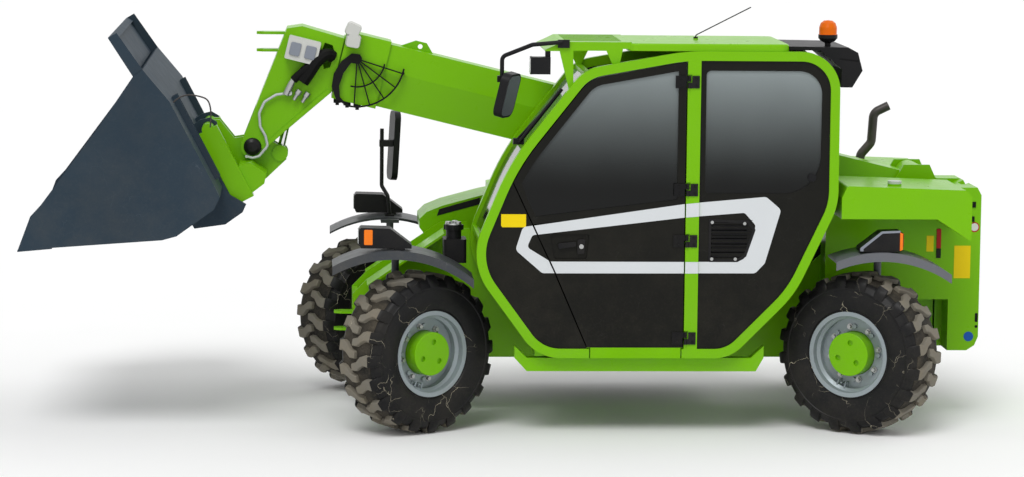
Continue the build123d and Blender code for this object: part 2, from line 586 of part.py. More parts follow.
with BuildPart() as beacon:
    # stem, cup and dome
    with BuildSketch(Plane(origin=(-1648, 740, 0), x_dir=(1, 0, 0), z_dir=(0, -1, 0))):
        with BuildLine():
            Polyline((0, 2013.5), (16, 2013.5), (16, 2030), (36, 2040), (50, 2056), (50, 2074), (46, 2076), (46, 2112),
                     (38, 2134), (22, 2146), (0, 2149), close=True)
        make_face()
    revolve(axis=Axis((-1648, 740, 0), (0, 0, 1)))
save(beacon, "beacon")

with BuildPart() as mirrors:
    # middle, turn about the upright, lean, width, height, thickness
    for middle, turn, lean, wide, high, thick in (
        ((15, 840, 1760), 65, 14, 175, 232, 44), ((549, -840, 1345), -81, 3, 168, 385, 34),
    ):
        a, b = radians(turn), radians(lean)
        away = (sin(a) * cos(b), -cos(a) * cos(b), sin(b)) if turn > 0 else (-sin(a) * cos(b), cos(a) * cos(b), sin(b))
        with BuildSketch(Plane(origin=middle, x_dir=(cos(a), sin(a), 0), z_dir=away)):
            RectangleRounded(wide, high, 50)
        extrude(amount=thick / 2, both=True)
    tube_run(((-262, 884, 2034), (-110, 884, 2020), (42, 835, 1955), (42, 835, 1740)), 11, 30)
    tube_run(((575, -700, 970), (585, -700, 1075), (618, -760, 1125), (618, -760, 1445)), 11, 20)
    block(558, 632, -792, -746, 1345, 1381)
    block(20, 66, 815, 850, 1825, 1857)
    block(550, 600, -725, -675, 962.68, 972)
    block(-300, -240, 872, 886, 2004, 2046)
save(mirrors, "mirrors")

# ---- inside the cab ----------------------------------------------------------------------------
with BuildPart() as seat:
    block(-980, -560, 330, 700, 640, 760)
    plate(SIDE, ((-900, 760), (-1030, 760), (-1130, 1330), (-1040, 1340)), 690, 350, 14)
    block(-940, -600, 380, 650, 470, 640)
save(seat, "seat")

with BuildPart() as column_part:
    plate(SIDE, ((-262, 470), (-350, 470), (-372, 1010), (-322, 1030)), 560, 100)
    wheel_plane = Plane(origin=(-352, 510, 1060), x_dir=(0, 1, 0), z_dir=(-0.42, 0, 0.91))
    with BuildSketch(wheel_plane):
        Circle(180)
        Circle(150, mode=Mode.SUBTRACT)
        with PolarLocations(0, 3):
            with Locations((82, 0)):
                Rectangle(150, 26)
        Circle(38)
    extrude(amount=24)
    with BuildSketch(wheel_plane.offset(-70)):
        Circle(30)
    extrude(amount=80)
save(column_part, "steering_wheel")

# ---- fenders -----------------------------------------------------------------------------------
# centre post, front tip, top, rear tip: x and z of the upper face's arc
FENDER_ARCS = (
    (FRONT_AXLE_X, (905, 880), (560, 962), (180, 815)),
    (REAR_AXLE_X, (-1690, 912), (-1925, 960), (-2292, 846)),
)
with BuildPart() as fenders:
    for post_x, front, top, back in FENDER_ARCS:
        for side in (1, -1):
            near = 925 if side > 0 else -620
            outer = 925 if side > 0 else -917
            for y_left, width, drop in ((near, 305, 8), (outer, 8, 46)):
                with BuildSketch(SIDE.offset(-y_left)) as arc:
                    with BuildLine():
                        ThreePointArc(front, top, back)
                        Line(back, (back[0], back[1] - drop))
                        ThreePointArc((back[0], back[1] - drop), (top[0], top[1] - drop), (front[0], front[1] - drop))
                        Line((front[0], front[1] - drop), front)
                    make_face()
                extrude(arc.sketch, amount=width)
            column(post_x, KINGPIN_Y * side, 20, HUB_Z + 126, 946)
            block(post_x - 50, post_x + 50, min(562 * side, 760 * side), max(562 * side, 760 * side), 938, 956)
save(fenders, "fenders")

# each lamp unit's blunt end, its slope's foot, its side and its height's shift
FRONT_LEDGE_Z = 962.74  # the fenders' highest points
REAR_LEDGE_X = -1931
REAR_LEDGE_Z = 960.08
LAMP_UNITS = ((766, 500, 1, 0), (766, 500, -1, 0), (-2035, -1815, 1, -10), (-2035, -1815, -1, -10))
with BuildPart() as lamps:
    for blunt, foot, side, shift in LAMP_UNITS:
        near = 900 if side > 0 else -770
        nose = 1 if blunt > foot else -1
        plate(SIDE, ((foot, 972 + shift), (blunt - 8 * nose, 972 + shift), (blunt, 985 + shift), (blunt, 1072 + shift),
                     (blunt - 8 * nose, 1078 + shift), (foot + 110 * nose, 1074 + shift), (foot, 990 + shift)), near, 130)
        # the ledge that bolts it to the fender's post, and the bulge of its lens
        ledge_x, ledge_z = (560, FRONT_LEDGE_Z) if nose > 0 else (REAR_LEDGE_X, REAR_LEDGE_Z)
        block(ledge_x - 25, ledge_x + 25, near - 130, near, ledge_z, 973 + shift)
        with BuildSketch(Plane.YZ.offset(blunt - 1 * nose)) as lens:
            with Locations((835 * side, 1029 + shift)):
                RectangleRounded(104, 78, 14)
        extrude(lens.sketch, amount=7 * nose)
    # the work light below the roof's guard
    block(-204, -110, 800, 880, 1868, 1955)
    with BuildSketch(Plane.YZ.offset(-111)) as bezel:
        with Locations((840, 1912)):
            RectangleRounded(84, 90, 10)
    extrude(bezel.sketch, amount=9)
    plate(SIDE, ((-204, 1955), (-178, 1955), (-178, 1987), (-204, 1987)), 860, 30)
save(lamps, "fender_lamps")

# ---- boom --------------------------------------------------------------------------------------
# the boom's section: half width, height above the pivot line, bottom first
BOOM_SECTION = ((112, BOOM_BOTTOM), (BOOM_HALF, BOOM_CREASE), (104, BOOM_TOP))


def boom_tube(section, start, end, inset=0.0, mode=Mode.ADD):
    """A length of boom, drawn in by inset on every side, between two stations along the boom."""
    station = Plane(origin=boom_point(start, 0), x_dir=(0, 1, 0), z_dir=BOOM_DIR)
    with BuildSketch(station) as face:
        with BuildLine():
            Polyline(*[(y, w) for y, w in section], *[(-y, w) for y, w in reversed(section)], close=True)
        make_face()
        if inset:
            offset(amount=-inset, kind=Kind.INTERSECTION, mode=Mode.REPLACE)
    extrude(face.sketch, amount=end - start, mode=mode)


with BuildPart() as outer:
    boom_tube(BOOM_SECTION, -70, BOOM_FRONT)
    boom_tube(BOOM_SECTION, BOOM_FRONT - 240, BOOM_FRONT, -14)
    # the tail is cut back below the pivot
    plate(BOOM_SIDE, ((-80, -50), (-80, -340), (315, -340), (315, -322)), 200, 400, mode=Mode.SUBTRACT)
    pin(BOOM_SIDE, 0, 0, 68, 140, 280)
    pin(BOOM_SIDE, 0, 0, 31, 141, 282, mode=Mode.SUBTRACT)
    # the ears for the lift cylinder's rod, with the two halves of its pin
    for y_left in (84, -64):
        plate(SIDE, ((LIFT_EYE_X - 190, 1190), (LIFT_EYE_X - 48, LIFT_EYE_Z - 20), (LIFT_EYE_X - 25, LIFT_EYE_Z - 48),
                     (LIFT_EYE_X + 25, LIFT_EYE_Z - 48), (LIFT_EYE_X + 48, LIFT_EYE_Z - 20),
                     (LIFT_EYE_X + 190, 1260), (LIFT_EYE_X + 190, 1280), (LIFT_EYE_X - 190, 1190)), y_left, 20)
    for y_left in (92, -38):
        pin(SIDE, LIFT_EYE_X, LIFT_EYE_Z, 24, y_left, 54)
    boom_tube(BOOM_SECTION, 330, BOOM_FRONT + 1, BOOM_WALL, mode=Mode.SUBTRACT)
    # the lifting lug on top
    plate(BOOM_SIDE, ((2668, 10), (2718, 62), (2778, 62), (2860, 10)), 8, 16)
    pin(BOOM_SIDE, LUG_U, 36, 13, 9, 18, mode=Mode.SUBTRACT)
save(outer, "boom_outer")

# the head: its side plates' outline along and across the boom
HEAD_OUTLINE = (
    (3154, -12), (3386, -2), (3462, -33), (3550, -664), (3530, -735), (3460, -740), (3428, -690), (3336, -558),
    (3154, -307),
)
HEAD_HALF = 128.0
CAP_SECTION = ((0, 0), (47, 0), (47, 12), (41, 22), (26, 30), (0, 33))  # radius, outward
HEAD_GAP = 108.0
# the side opening for the hoses
HOSE_OPENING = ((3206, -62), (3250, -58), (3256, -120), (3222, -196), (3192, -180), (3186, -100))
with BuildPart() as inner:
    boom_tube(BOOM_SECTION, 480, 3154, BOOM_WALL + 10)
    boom_tube(BOOM_SECTION, 479, 3140, BOOM_WALL + 18, mode=Mode.SUBTRACT)
save(inner, "boom_inner")

with BuildPart() as head:
    plate(BOOM_SIDE, HEAD_OUTLINE, HEAD_HALF, 2 * HEAD_HALF)
    pin(BOOM_SIDE, TILT_PIVOT_U, TILT_PIVOT_W, 62, HEAD_HALF, 2 * HEAD_HALF)
    plate(BOOM_SIDE, ((3172, -30), (3380, -20), (3444, -48), (3496, -480), (3900, -480), (3900, -900), (3172, -900)),
          HEAD_GAP, 2 * HEAD_GAP, mode=Mode.SUBTRACT)
    plate(BOOM_SIDE, HOSE_OPENING, HEAD_HALF + 1, HEAD_HALF - HEAD_GAP + 2, mode=Mode.SUBTRACT)
    pin(BOOM_SIDE, TILT_PIVOT_U, TILT_PIVOT_W, 28, HEAD_HALF + 8, 2 * HEAD_HALF + 16)
    # the pin's domed caps
    for side in (1, -1):
        cap_axis = Axis(boom_point(TILT_PIVOT_U, TILT_PIVOT_W), (0, 1, 0))
        with BuildSketch(Plane(boom_point(TILT_PIVOT_U, TILT_PIVOT_W), x_dir=(0, 1, 0), z_dir=(1, 0, 0))) as dome:
            with BuildLine():
                Polyline(*[((HEAD_HALF + out) * side, r) for r, out in CAP_SECTION], close=True)
            make_face()
        revolve(dome.sketch, axis=cap_axis)
    pin(BOOM_SIDE, TILT_BASE_U, TILT_BASE_W, 22, HEAD_HALF, 2 * HEAD_HALF)
    # the rib along each side plate's lower edge
    for y_left in (HEAD_HALF + 8, -HEAD_HALF):
        plate(BOOM_SIDE, ((3158, -300), (3182, -300), (3356, -546), (3446, -680), (3430, -688), (3338, -556), (3160, -310)),
              y_left, 8)
    # the towing clevis on the head's front: two tongues with an upright bore
    for z in (1922, 2014):
        with BuildSketch(Plane.XY.offset(z)) as tongue:
            with BuildLine():
                Polyline((1150, 44), (1270, 44), (1305, 22), (1305, -22), (1270, -44), (1150, -44), close=True)
            make_face()
            with Locations((1280, 0)):
                Circle(13, mode=Mode.SUBTRACT)
        extrude(tongue.sketch, amount=14)
save(head, "boom_head")

with BuildPart() as sockets:
    plate(BOOM_SIDE, ((3268, -60), (3440, -60), (3440, -185), (3268, -185)), 190, 190 - HEAD_HALF, 8)
save(sockets, "socket_box")

# the hose guard's outline ahead of its wires, and its hub
GUARD_HUB = (3064, -100)
GUARD_BLADE = ((3052, -72), (3098, -78), (3142, -130), (3166, -206), (3160, -276), (3124, -332), (3070, -352), (3070, -340),
               (3104, -318), (3122, -262), (3116, -190), (3090, -128), (3052, -124))
with BuildPart() as boom_lamp:
    # two work lamps on a post
    for z, lean in ((1990, 10), (2050, 24)):
        with BuildSketch(Plane(origin=(794, 162, z), x_dir=(cos(radians(lean)), 0, sin(radians(lean))), z_dir=(0, 1, 0))) as body:
            RectangleRounded(80, 74, 20)
        extrude(body.sketch, amount=72, taper=5)
    block(780, 808, 150, 164, 1960, 2070)
    block(776, 812, 126, 152, 1970, 2000)
    # the hose guard: a blade and wires around a hub
    with BuildSketch(BOOM_SIDE.offset(-160)) as wires:
        with Locations(GUARD_HUB):
            Circle(258)
            Circle(249, mode=Mode.SUBTRACT)
            Circle(152)
            Circle(144, mode=Mode.SUBTRACT)
        with Locations((GUARD_HUB[0], GUARD_HUB[1] + 150)):
            Rectangle(600, 282, mode=Mode.SUBTRACT)
        with Locations((GUARD_HUB[0] + 150, GUARD_HUB[1])):
            Rectangle(300, 600, mode=Mode.SUBTRACT)
        for angle in (184, 203, 222, 241, 260):
            with Locations((GUARD_HUB[0] + 128 * cos(radians(angle)), GUARD_HUB[1] + 128 * sin(radians(angle)))):
                Rectangle(256, 7, rotation=angle)
        with Locations(GUARD_HUB):
            Circle(26)
        with BuildLine():
            Polyline(*GUARD_BLADE, close=True)
        make_face()
    extrude(wires.sketch, amount=8)
    pin(BOOM_SIDE, *GUARD_HUB, 8, 152, 15.6)
    pin(BOOM_SIDE, 2809, -116, 8, 152, 27.4)
save(boom_lamp, "boom_lights")

# ---- cylinders ---------------------------------------------------------------------------------
TILT_BASE = boom_point(TILT_BASE_U, TILT_BASE_W)
TILT_EAR = boom_point(TILT_EAR_U, TILT_EAR_W)
# name, base x z, rod eye x z, barrel radius, barrel length, rod radius, rod's hidden start, eye radius, base bore
CYLINDERS = (
    ("lift", (LIFT_BASE_X, LIFT_BASE_Z), (LIFT_EYE_X, LIFT_EYE_Z), 55, 765, 30, 250, 40, 25),
    ("tilt", (TILT_BASE[0], TILT_BASE[2]), (TILT_EAR[0], TILT_EAR[2]), 42, 405, 20, 212, 34, 23),
)
for name, base, eye, barrel_r, barrel_len, rod_r, rod_start, eye_r, bore in CYLINDERS:
    reach = Vector(eye[0] - base[0], 0, eye[1] - base[1])
    length = reach.length
    along = reach.normalized()
    foot = Vector(base[0], 0, base[1])
    station = Plane(origin=foot, x_dir=(0, 1, 0), z_dir=along)
    with BuildPart() as barrel:
        pin(SIDE, base[0], base[1], bore + 18, 34, 68)
        with BuildSketch(station.offset(32)):
            Circle(barrel_r)
        extrude(amount=barrel_len - 32)
        with BuildSketch(station.offset(barrel_len - 46)):
            Circle(barrel_r + 5)
        extrude(amount=46)
        with BuildSketch(station.offset(60)):
            Circle(rod_r + 1)
        extrude(amount=barrel_len, mode=Mode.SUBTRACT)
        pin(SIDE, base[0], base[1], bore, 35, 70, mode=Mode.SUBTRACT)
    save(barrel, f"{name}_cylinder")
    with BuildPart() as rod:
        with BuildSketch(station.offset(rod_start)):
            Circle(rod_r)
        extrude(amount=length - rod_start - eye_r * 0.7)
        pin(SIDE, eye[0], eye[1], eye_r, 30, 60)
        pin(SIDE, eye[0], eye[1], 20, 31, 62, mode=Mode.SUBTRACT)
    save(rod, f"{name}_rod")

# ---- carriage ----------------------------------------------------------------------------------
PIVOT = boom_point(TILT_PIVOT_U, TILT_PIVOT_W)
FACE_SLOPE = 0.529  # how far the carriage's face leans forward for each millimetre up


def face_x(z, back=0.0):
    """X on the carriage's front face at a height, or back behind it."""
    return 1497 + (z - 1297) * FACE_SLOPE - back


with BuildPart() as carriage:
    cheek = (
        (face_x(1478), 1478), (1545, 1562), (1500, 1560), (1421, 1462), (1324, 1478), (1262, 1472), (1185, 1425),
        (1150, 1400), (1145, 1350), (1250, 1250), (1371, 1150), (face_x(1130), 1130),
    )
    for y_left in (70, -45):
        plate(SIDE, cheek, y_left, 25)
    pin(SIDE, PIVOT[0], PIVOT[2], 56, 102, 204)
    pin(SIDE, PIVOT[0], PIVOT[2], 29, 103, 206, mode=Mode.SUBTRACT)
    # the space between the cheeks in which the tilt rod's eye swings
    plate(SIDE, ((1262, 1500), (1262, 1330), (1230, 1250), (1100, 1250), (1100, 1500)), 44, 88, mode=Mode.SUBTRACT)
    for y_left in (80, -36):
        pin(SIDE, TILT_EAR[0], TILT_EAR[2], 42, y_left if y_left > 0 else -45, 10 if y_left > 0 else 25)
        pin(SIDE, TILT_EAR[0], TILT_EAR[2], 19, y_left, 44)
    pin(SIDE, 1556, 1528, 32, 330, 660)
    beam = ((face_x(1500), 1500), (1510, 1550), (1315, 1180), (face_x(1130), 1130))
    for y_left in (330, -250):
        plate(SIDE, beam, y_left, 80)
    plate(SIDE, ((1392, 1343), (1329, 1350), (1249, 1296), (1260, 1243), (1371, 1158), (1419, 1206)), 310, 620)
    plate(SIDE, ((face_x(1400), 1400), (face_x(1400, 14), 1400), (face_x(1140, 14), 1140), (face_x(1140), 1140)),
          300, 600)
save(carriage, "carriage")

# ---- bucket ------------------------------------------------------------------------------------
BUCKET_SIDE = (
    (2504, 956), (2359, 971), (1772, 1014), (1699, 1034), (1509, 1171), (1479, 1235), (1509, 1297), (1734, 1722),
    (1869, 1882), (1918, 1847), (2095, 1584), (2385, 1191), (2438, 1133),
)
BUCKET_INSIDE = (
    (2600, 956), (2359, 981), (1774, 1024), (1705, 1043), (1519, 1178), (1491, 1235), (1520, 1293), (1744, 1716),
    (1876, 1872), (1990, 1900), (2600, 1240),
)
with BuildPart() as bucket:
    plate(SIDE, BUCKET_SIDE, BUCKET_HALF, 2 * BUCKET_HALF)
    plate(SIDE, BUCKET_INSIDE, BUCKET_HALF - 12, 2 * BUCKET_HALF - 24, mode=Mode.SUBTRACT)
    # cutting edge
    plate(SIDE, ((2504, 952), (2504, 960), (2330, 990), (2330, 968)), BUCKET_HALF, 2 * BUCKET_HALF)
    # spill guard with its end flanges
    plate(SIDE, ((1918, 1847), (2044, 2042), (2037, 2046), (1905, 1856)), 925, 1850)
    for y_left in (925, -917):
        plate(SIDE, ((1918, 1847), (2044, 2042), (2000, 2068), (1869, 1882)), y_left, 8)
    # hanging hooks over the carriage's tube, and the locking brackets at its foot
    for y_left in (210, -190):
        plate(SIDE, ((1640, 1541), (1600, 1570), (1550, 1582), (1512, 1560), (1508, 1530), (1524, 1530), (1556, 1561),
                     (1588, 1540), (1590, 1496), (1625, 1510)), y_left, 20)
    for y_left in (372, -352):
        plate(SIDE, ((1643, 1040), (1625, 1010), (1463, 1033), (1372, 1098), (1354, 1140), (face_x(1190), 1190),
                     (face_x(1540), 1540), (1640, 1541), (1509, 1297), (1479, 1235), (1509, 1171)), y_left, 20)
    pin(SIDE, 1556, 1528, 33, 220, 440, mode=Mode.SUBTRACT)
    # stiffening ribs on the back, along its slope
    for y_left in (640, 560, -552, -632):
        plate(SIDE, ((1734, 1722), (1706, 1737), (1484, 1312), (1509, 1297)), y_left, 8)
    # a strip along the guard's top and two struts behind it
    plate(SIDE, ((2037, 2046), (2044, 2042), (2026, 2014), (2004, 2028)), 917, 1834)
save(bucket, "bucket")

# the hose from the head's coupler to its fitting on the pivot, clipped along the head
HOSE_RADIUS = 7.0
HOSE_Y = 146.0
# x and z, from the coupler down behind the pivot's cap and round below it
HOSE_ROUTE = ((1138, 1709), (1200, 1700), (1262, 1662), (1290, 1600), (1284, 1530), (1256, 1480), (1244, 1426),
              (1266, 1402), (1289, 1372), (1325, 1362), (1356, 1371))
with BuildPart() as hose:
    with BuildLine() as path:
        FilletPolyline(*[(x, HOSE_Y, z) for x, z in HOSE_ROUTE], radius=30)
    with BuildSketch(Plane(origin=path.line @ 0, z_dir=path.line % 0)) as disc:
        Circle(HOSE_RADIUS)
    sweep(disc.sketch, path=path.line)
    pin(SIDE, 1128, 1709, 12, HOSE_Y + 10, HOSE_Y + 10 - HEAD_HALF)
    pin(SIDE, 1356, 1371, 7.5, HOSE_Y + 8, HOSE_Y + 8 - HEAD_HALF)
save(hose, "lock_hose")
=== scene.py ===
"""Finishes a compact telescopic handler: paint, glass, tyres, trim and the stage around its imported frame."""
import json
import math

import bmesh
import bpy
from mathutils import Matrix, Quaternion, Vector


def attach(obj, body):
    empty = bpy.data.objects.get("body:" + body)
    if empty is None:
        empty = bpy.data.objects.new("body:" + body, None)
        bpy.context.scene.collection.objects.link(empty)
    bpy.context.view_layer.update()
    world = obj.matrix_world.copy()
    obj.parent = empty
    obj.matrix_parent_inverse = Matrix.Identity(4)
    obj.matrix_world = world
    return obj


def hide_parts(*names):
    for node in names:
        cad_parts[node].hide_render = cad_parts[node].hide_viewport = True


bl_info = {
    "name": "Telescopic Handler Finish",
    "version": (1, 0, 0),
    "blender": (4, 5, 0),
    "location": "View3D > Sidebar > Handler",
    "description": "Paint, tyres, glass and trim of a compact telescopic handler",
    "category": "Object",
}

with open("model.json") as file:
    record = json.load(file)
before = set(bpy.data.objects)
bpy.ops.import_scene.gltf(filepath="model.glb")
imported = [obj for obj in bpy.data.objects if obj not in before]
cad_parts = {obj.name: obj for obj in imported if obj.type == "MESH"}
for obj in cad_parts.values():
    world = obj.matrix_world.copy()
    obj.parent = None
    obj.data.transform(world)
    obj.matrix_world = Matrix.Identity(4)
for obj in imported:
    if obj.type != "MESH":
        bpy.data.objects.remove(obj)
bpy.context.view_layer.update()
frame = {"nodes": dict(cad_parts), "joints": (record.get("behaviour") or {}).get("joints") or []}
JOINTS = {joint["name"]: joint for joint in frame["joints"]}
WHEELS = ("front_left", "front_right", "rear_left", "rear_right")
LEFT = (0, 1, 0)
BOOM_PIVOT = Vector((-2.230, 0, 1.275))
BOOM_ANGLE = math.radians(13.5)

# filled by main(), before the steps run: shader groups, materials and geometry trees by short name
GROUPS, FINISHES, TREES = {}, {}, {}


def srgb(red, green, blue):
    """A colour given as 0 to 255 display values, as the linear values that shaders read."""
    values = [channel / 255 for channel in (red, green, blue)]
    return tuple(v / 12.92 if v <= 0.04045 else ((v + 0.055) / 1.055) ** 2.4 for v in values) + (1.0,)


# ---- settings that a user would change ----
def colour(name, description, default):
    """A colour setting."""
    return bpy.props.FloatVectorProperty(
        name=name, description=description, default=default[:3], size=3, min=0, max=1, subtype="COLOR")


class HandlerPaint(bpy.types.PropertyGroup):
    """Colours of the painted and moulded surfaces"""
    lime: colour("Lime paint", "Main body colour", srgb(118, 186, 0))
    panel: colour("Dark panel", "Cab door and side panels", srgb(25, 25, 22))
    slate: colour("Bucket paint", "Bucket colour", srgb(47, 60, 71))
    stripe: colour("Stripe", "Loop around the door", srgb(212, 216, 219))
    fender: colour("Fender", "Moulded mudguards", srgb(100, 103, 110))
    silver: colour("Rim paint", "Wheel rims", srgb(150, 160, 165))
    rubber: colour("Tyre rubber", "Clean sidewall colour", srgb(27, 27, 28))
    dust: colour("Dust", "Dry earth on tyres and lower parts", srgb(134, 124, 106))


class HandlerSizes(bpy.types.PropertyGroup):
    """Sizes of the tyres' tread"""
    lugs: bpy.props.IntProperty(
        name="Lugs a side", description="Tread lugs on each half of a tyre", default=20, min=6, max=40)
    lug_height: bpy.props.FloatProperty(
        name="Lug height", description="From the tyre's casing to the lug's face", default=0.024, min=0,
        unit="LENGTH", precision=4)


# ---- nodes ----
def node_tree(name, kind, inputs, outputs):
    """An empty tree, and the sockets that lead into it and out of it.

    Inputs are rows of name, type and default; outputs are rows of name and type.
    """
    tree = bpy.data.node_groups.new(name, kind)
    for label, socket_type, default in inputs:
        socket = tree.interface.new_socket(name=label, in_out="INPUT", socket_type="NodeSocket" + socket_type)
        if default is not None:
            socket.default_value = default
    for label, socket_type in outputs:
        tree.interface.new_socket(name=label, in_out="OUTPUT", socket_type="NodeSocket" + socket_type)
    return tree, tree.nodes.new("NodeGroupInput").outputs, tree.nodes.new("NodeGroupOutput").inputs


def add_node(tree, kind, settings=(), links=()):
    """A node with its settings and its linked or fixed inputs."""
    node = tree.nodes.new(kind)
    for key, value in dict(settings).items():
        setattr(node, key, value)
    for key, value in dict(links).items():
        if isinstance(value, bpy.types.NodeSocket):
            tree.links.new(value, node.inputs[key])
        else:
            node.inputs[key].default_value = value
    return node


def maths(tree, operation, first, second=0.0, clamp=False):
    """One step of arithmetic on one or two values."""
    return add_node(tree, "ShaderNodeMath", {"operation": operation, "use_clamp": clamp},
                    {0: first, 1: second}).outputs[0]


def ramp(tree, value, low, high, to_low=0.0, to_high=1.0):
    """Maps a value between two limits, clamped."""
    return add_node(tree, "ShaderNodeMapRange", {"clamp": True}, {
        "Value": value, "From Min": low, "From Max": high, "To Min": to_low, "To Max": to_high}).outputs[0]


def mix_colour(tree, factor, first, second):
    """The first colour at factor 0, the second at 1."""
    return add_node(tree, "ShaderNodeMix", {"data_type": "RGBA"}, {0: factor, 6: first, 7: second}).outputs[2]


def noise(tree, vector, scale, detail=4.0, roughness=0.55):
    """Cloudy noise between 0 and 1."""
    return add_node(tree, "ShaderNodeTexNoise", {}, {
        "Vector": vector, "Scale": scale, "Detail": detail, "Roughness": roughness}).outputs[0]


# ---- materials ----
def build_weather_group():
    """Dust that gathers low down and in patches, slight fading, and an uneven gloss."""
    tree, given, result = node_tree("Weathered surface", "ShaderNodeTree", (
        ("Vector", "Vector", None), ("Color", "Color", (1, 1, 1, 1)), ("Dust Color", "Color", (0.2, 0.16, 0.1, 1)),
        ("Dust", "Float", 0.3), ("Dust Height", "Float", 0.8), ("Fading", "Float", 0.1), ("Roughness", "Float", 0.4),
        ("Grain Scale", "Float", 400.0)), (("Color", "Color"), ("Roughness", "Float"), ("Height", "Float")))
    place = given["Vector"]
    z = add_node(tree, "ShaderNodeSeparateXYZ", {}, {0: place}).outputs[2]
    low = maths(tree, "SUBTRACT", 1.0, maths(tree, "DIVIDE", z, given["Dust Height"]), True)
    patches = ramp(tree, noise(tree, place, 5.0, 6.0, 0.65), 0.42, 0.68)
    specks = ramp(tree, noise(tree, place, 90.0, 3.0, 0.7), 0.5, 0.72)
    reach = maths(tree, "MULTIPLY_ADD", low, 0.8)
    reach.node.inputs[2].default_value = 0.12
    cover = maths(tree, "ADD", maths(tree, "MULTIPLY", patches, 0.7), maths(tree, "MULTIPLY", specks, 0.45), True)
    dust = maths(tree, "MULTIPLY", maths(tree, "MULTIPLY", cover, reach), given["Dust"], True)
    fade = maths(tree, "MULTIPLY", maths(tree, "SUBTRACT", noise(tree, place, 2.3, 3.0), 0.5), given["Fading"])
    shade = add_node(tree, "ShaderNodeHueSaturation", {}, {
        "Color": given["Color"], "Value": maths(tree, "ADD", fade, 1.0)}).outputs[0]
    tree.links.new(mix_colour(tree, dust, shade, given["Dust Color"]), result["Color"])
    rough = maths(tree, "ADD", given["Roughness"], maths(tree, "MULTIPLY", dust, 0.5))
    smear = maths(tree, "MULTIPLY", maths(tree, "SUBTRACT", noise(tree, place, 14.0, 4.0), 0.5), 0.18)
    tree.links.new(maths(tree, "ADD", rough, smear, True), result["Roughness"])
    grain = noise(tree, place, given["Grain Scale"], 2.0)
    tree.links.new(maths(tree, "ADD", grain, maths(tree, "MULTIPLY", dust, 1.5)), result["Height"])
    return tree


def build_scratch_group():
    """Thin lines in patches: rub marks on paint, dry stalks stuck to rubber."""
    tree, given, result = node_tree("Thin marks", "ShaderNodeTree", (
        ("Vector", "Vector", None), ("Scale", "Float", 9.0), ("Width", "Float", 0.012), ("Cover", "Float", 0.5)),
        (("Mask", "Float"),))
    place = given["Vector"]
    bend = add_node(tree, "ShaderNodeTexNoise", {}, {"Vector": place, "Scale": 7.0, "Detail": 3.0})
    bent = add_node(tree, "ShaderNodeVectorMath", {"operation": "MULTIPLY_ADD"}, {
        0: bend.outputs["Color"], 1: (0.16, 0.16, 0.16), 2: place}).outputs[0]
    cells = add_node(tree, "ShaderNodeTexVoronoi", {"feature": "DISTANCE_TO_EDGE"}, {
        "Vector": bent, "Scale": given["Scale"]}).outputs["Distance"]
    lines = ramp(tree, maths(tree, "DIVIDE", cells, given["Width"]), 0.35, 1.0, 1.0, 0.0)
    cover = maths(tree, "ADD", noise(tree, place, 4.5, 3.0), maths(tree, "MULTIPLY", given["Cover"], 0.4))
    tree.links.new(maths(tree, "MULTIPLY", lines, ramp(tree, cover, 0.62, 0.72), True), result["Mask"])
    return tree


def principled(name):
    """A new material, its node tree and its main shader."""
    material = bpy.data.materials.new(name)
    material.use_nodes = True
    return material, material.node_tree, material.node_tree.nodes["Principled BSDF"]


def finish(name, base, roughness=0.4, metallic=0.0, dust=0.3, height=0.9, fading=0.1, grain=400.0, bump=0.02,
           coat=0.0, marks=None, mark_colour=None, specular=0.5, tones=()):
    """A weathered material: paint, plastic or rubber.

    Marks are the scale, width, cover and strength of its thin lines. Each tone is a colour that holds where a
    coordinate lies between two values; 0 to 2 are x, y, z and 3 is the distance from the middle plane.
    """
    material, tree, shader = principled(name)
    place = add_node(tree, "ShaderNodeTexCoord").outputs["Object"]
    mapping = add_node(tree, "ShaderNodeMapping", {}, {"Vector": place}).outputs[0]
    dust_colour = tuple(bpy.context.scene.handler_paint.dust) + (1.0,)
    ground = tuple(base[:3]) + (1.0,)
    if tones:
        parts = list(add_node(tree, "ShaderNodeSeparateXYZ", {}, {0: place}).outputs)
        parts.append(maths(tree, "ABSOLUTE", parts[1]))
        for shade, axis, low, high in tones:
            inside = maths(tree, "MULTIPLY", maths(tree, "GREATER_THAN", parts[axis], low),
                           maths(tree, "LESS_THAN", parts[axis], high))
            ground = mix_colour(tree, inside, ground, tuple(shade[:3]) + (1.0,))
    weather = add_node(tree, "ShaderNodeGroup", {"node_tree": GROUPS["weather"]}, {
        "Vector": mapping, "Color": ground, "Dust Color": dust_colour, "Dust": dust,
        "Dust Height": height, "Fading": fading, "Roughness": roughness, "Grain Scale": grain})
    shade = weather.outputs["Color"]
    if marks:
        scale, width, cover, strength = marks
        lines = add_node(tree, "ShaderNodeGroup", {"node_tree": GROUPS["marks"]}, {
            "Vector": mapping, "Scale": scale, "Width": width, "Cover": cover})
        shade = mix_colour(tree, maths(tree, "MULTIPLY", lines.outputs["Mask"], strength), shade, mark_colour)
    tree.links.new(shade, shader.inputs["Base Color"])
    tree.links.new(weather.outputs["Roughness"], shader.inputs["Roughness"])
    for key, value in (("Metallic", metallic), ("Coat Weight", coat), ("Coat Roughness", 0.08),
                       ("Specular IOR Level", specular)):
        shader.inputs[key].default_value = value
    if bump:
        relief = add_node(tree, "ShaderNodeBump", {}, {
            "Strength": bump, "Distance": 0.002, "Height": weather.outputs["Height"]})
        tree.links.new(relief.outputs[0], shader.inputs["Normal"])
    return material


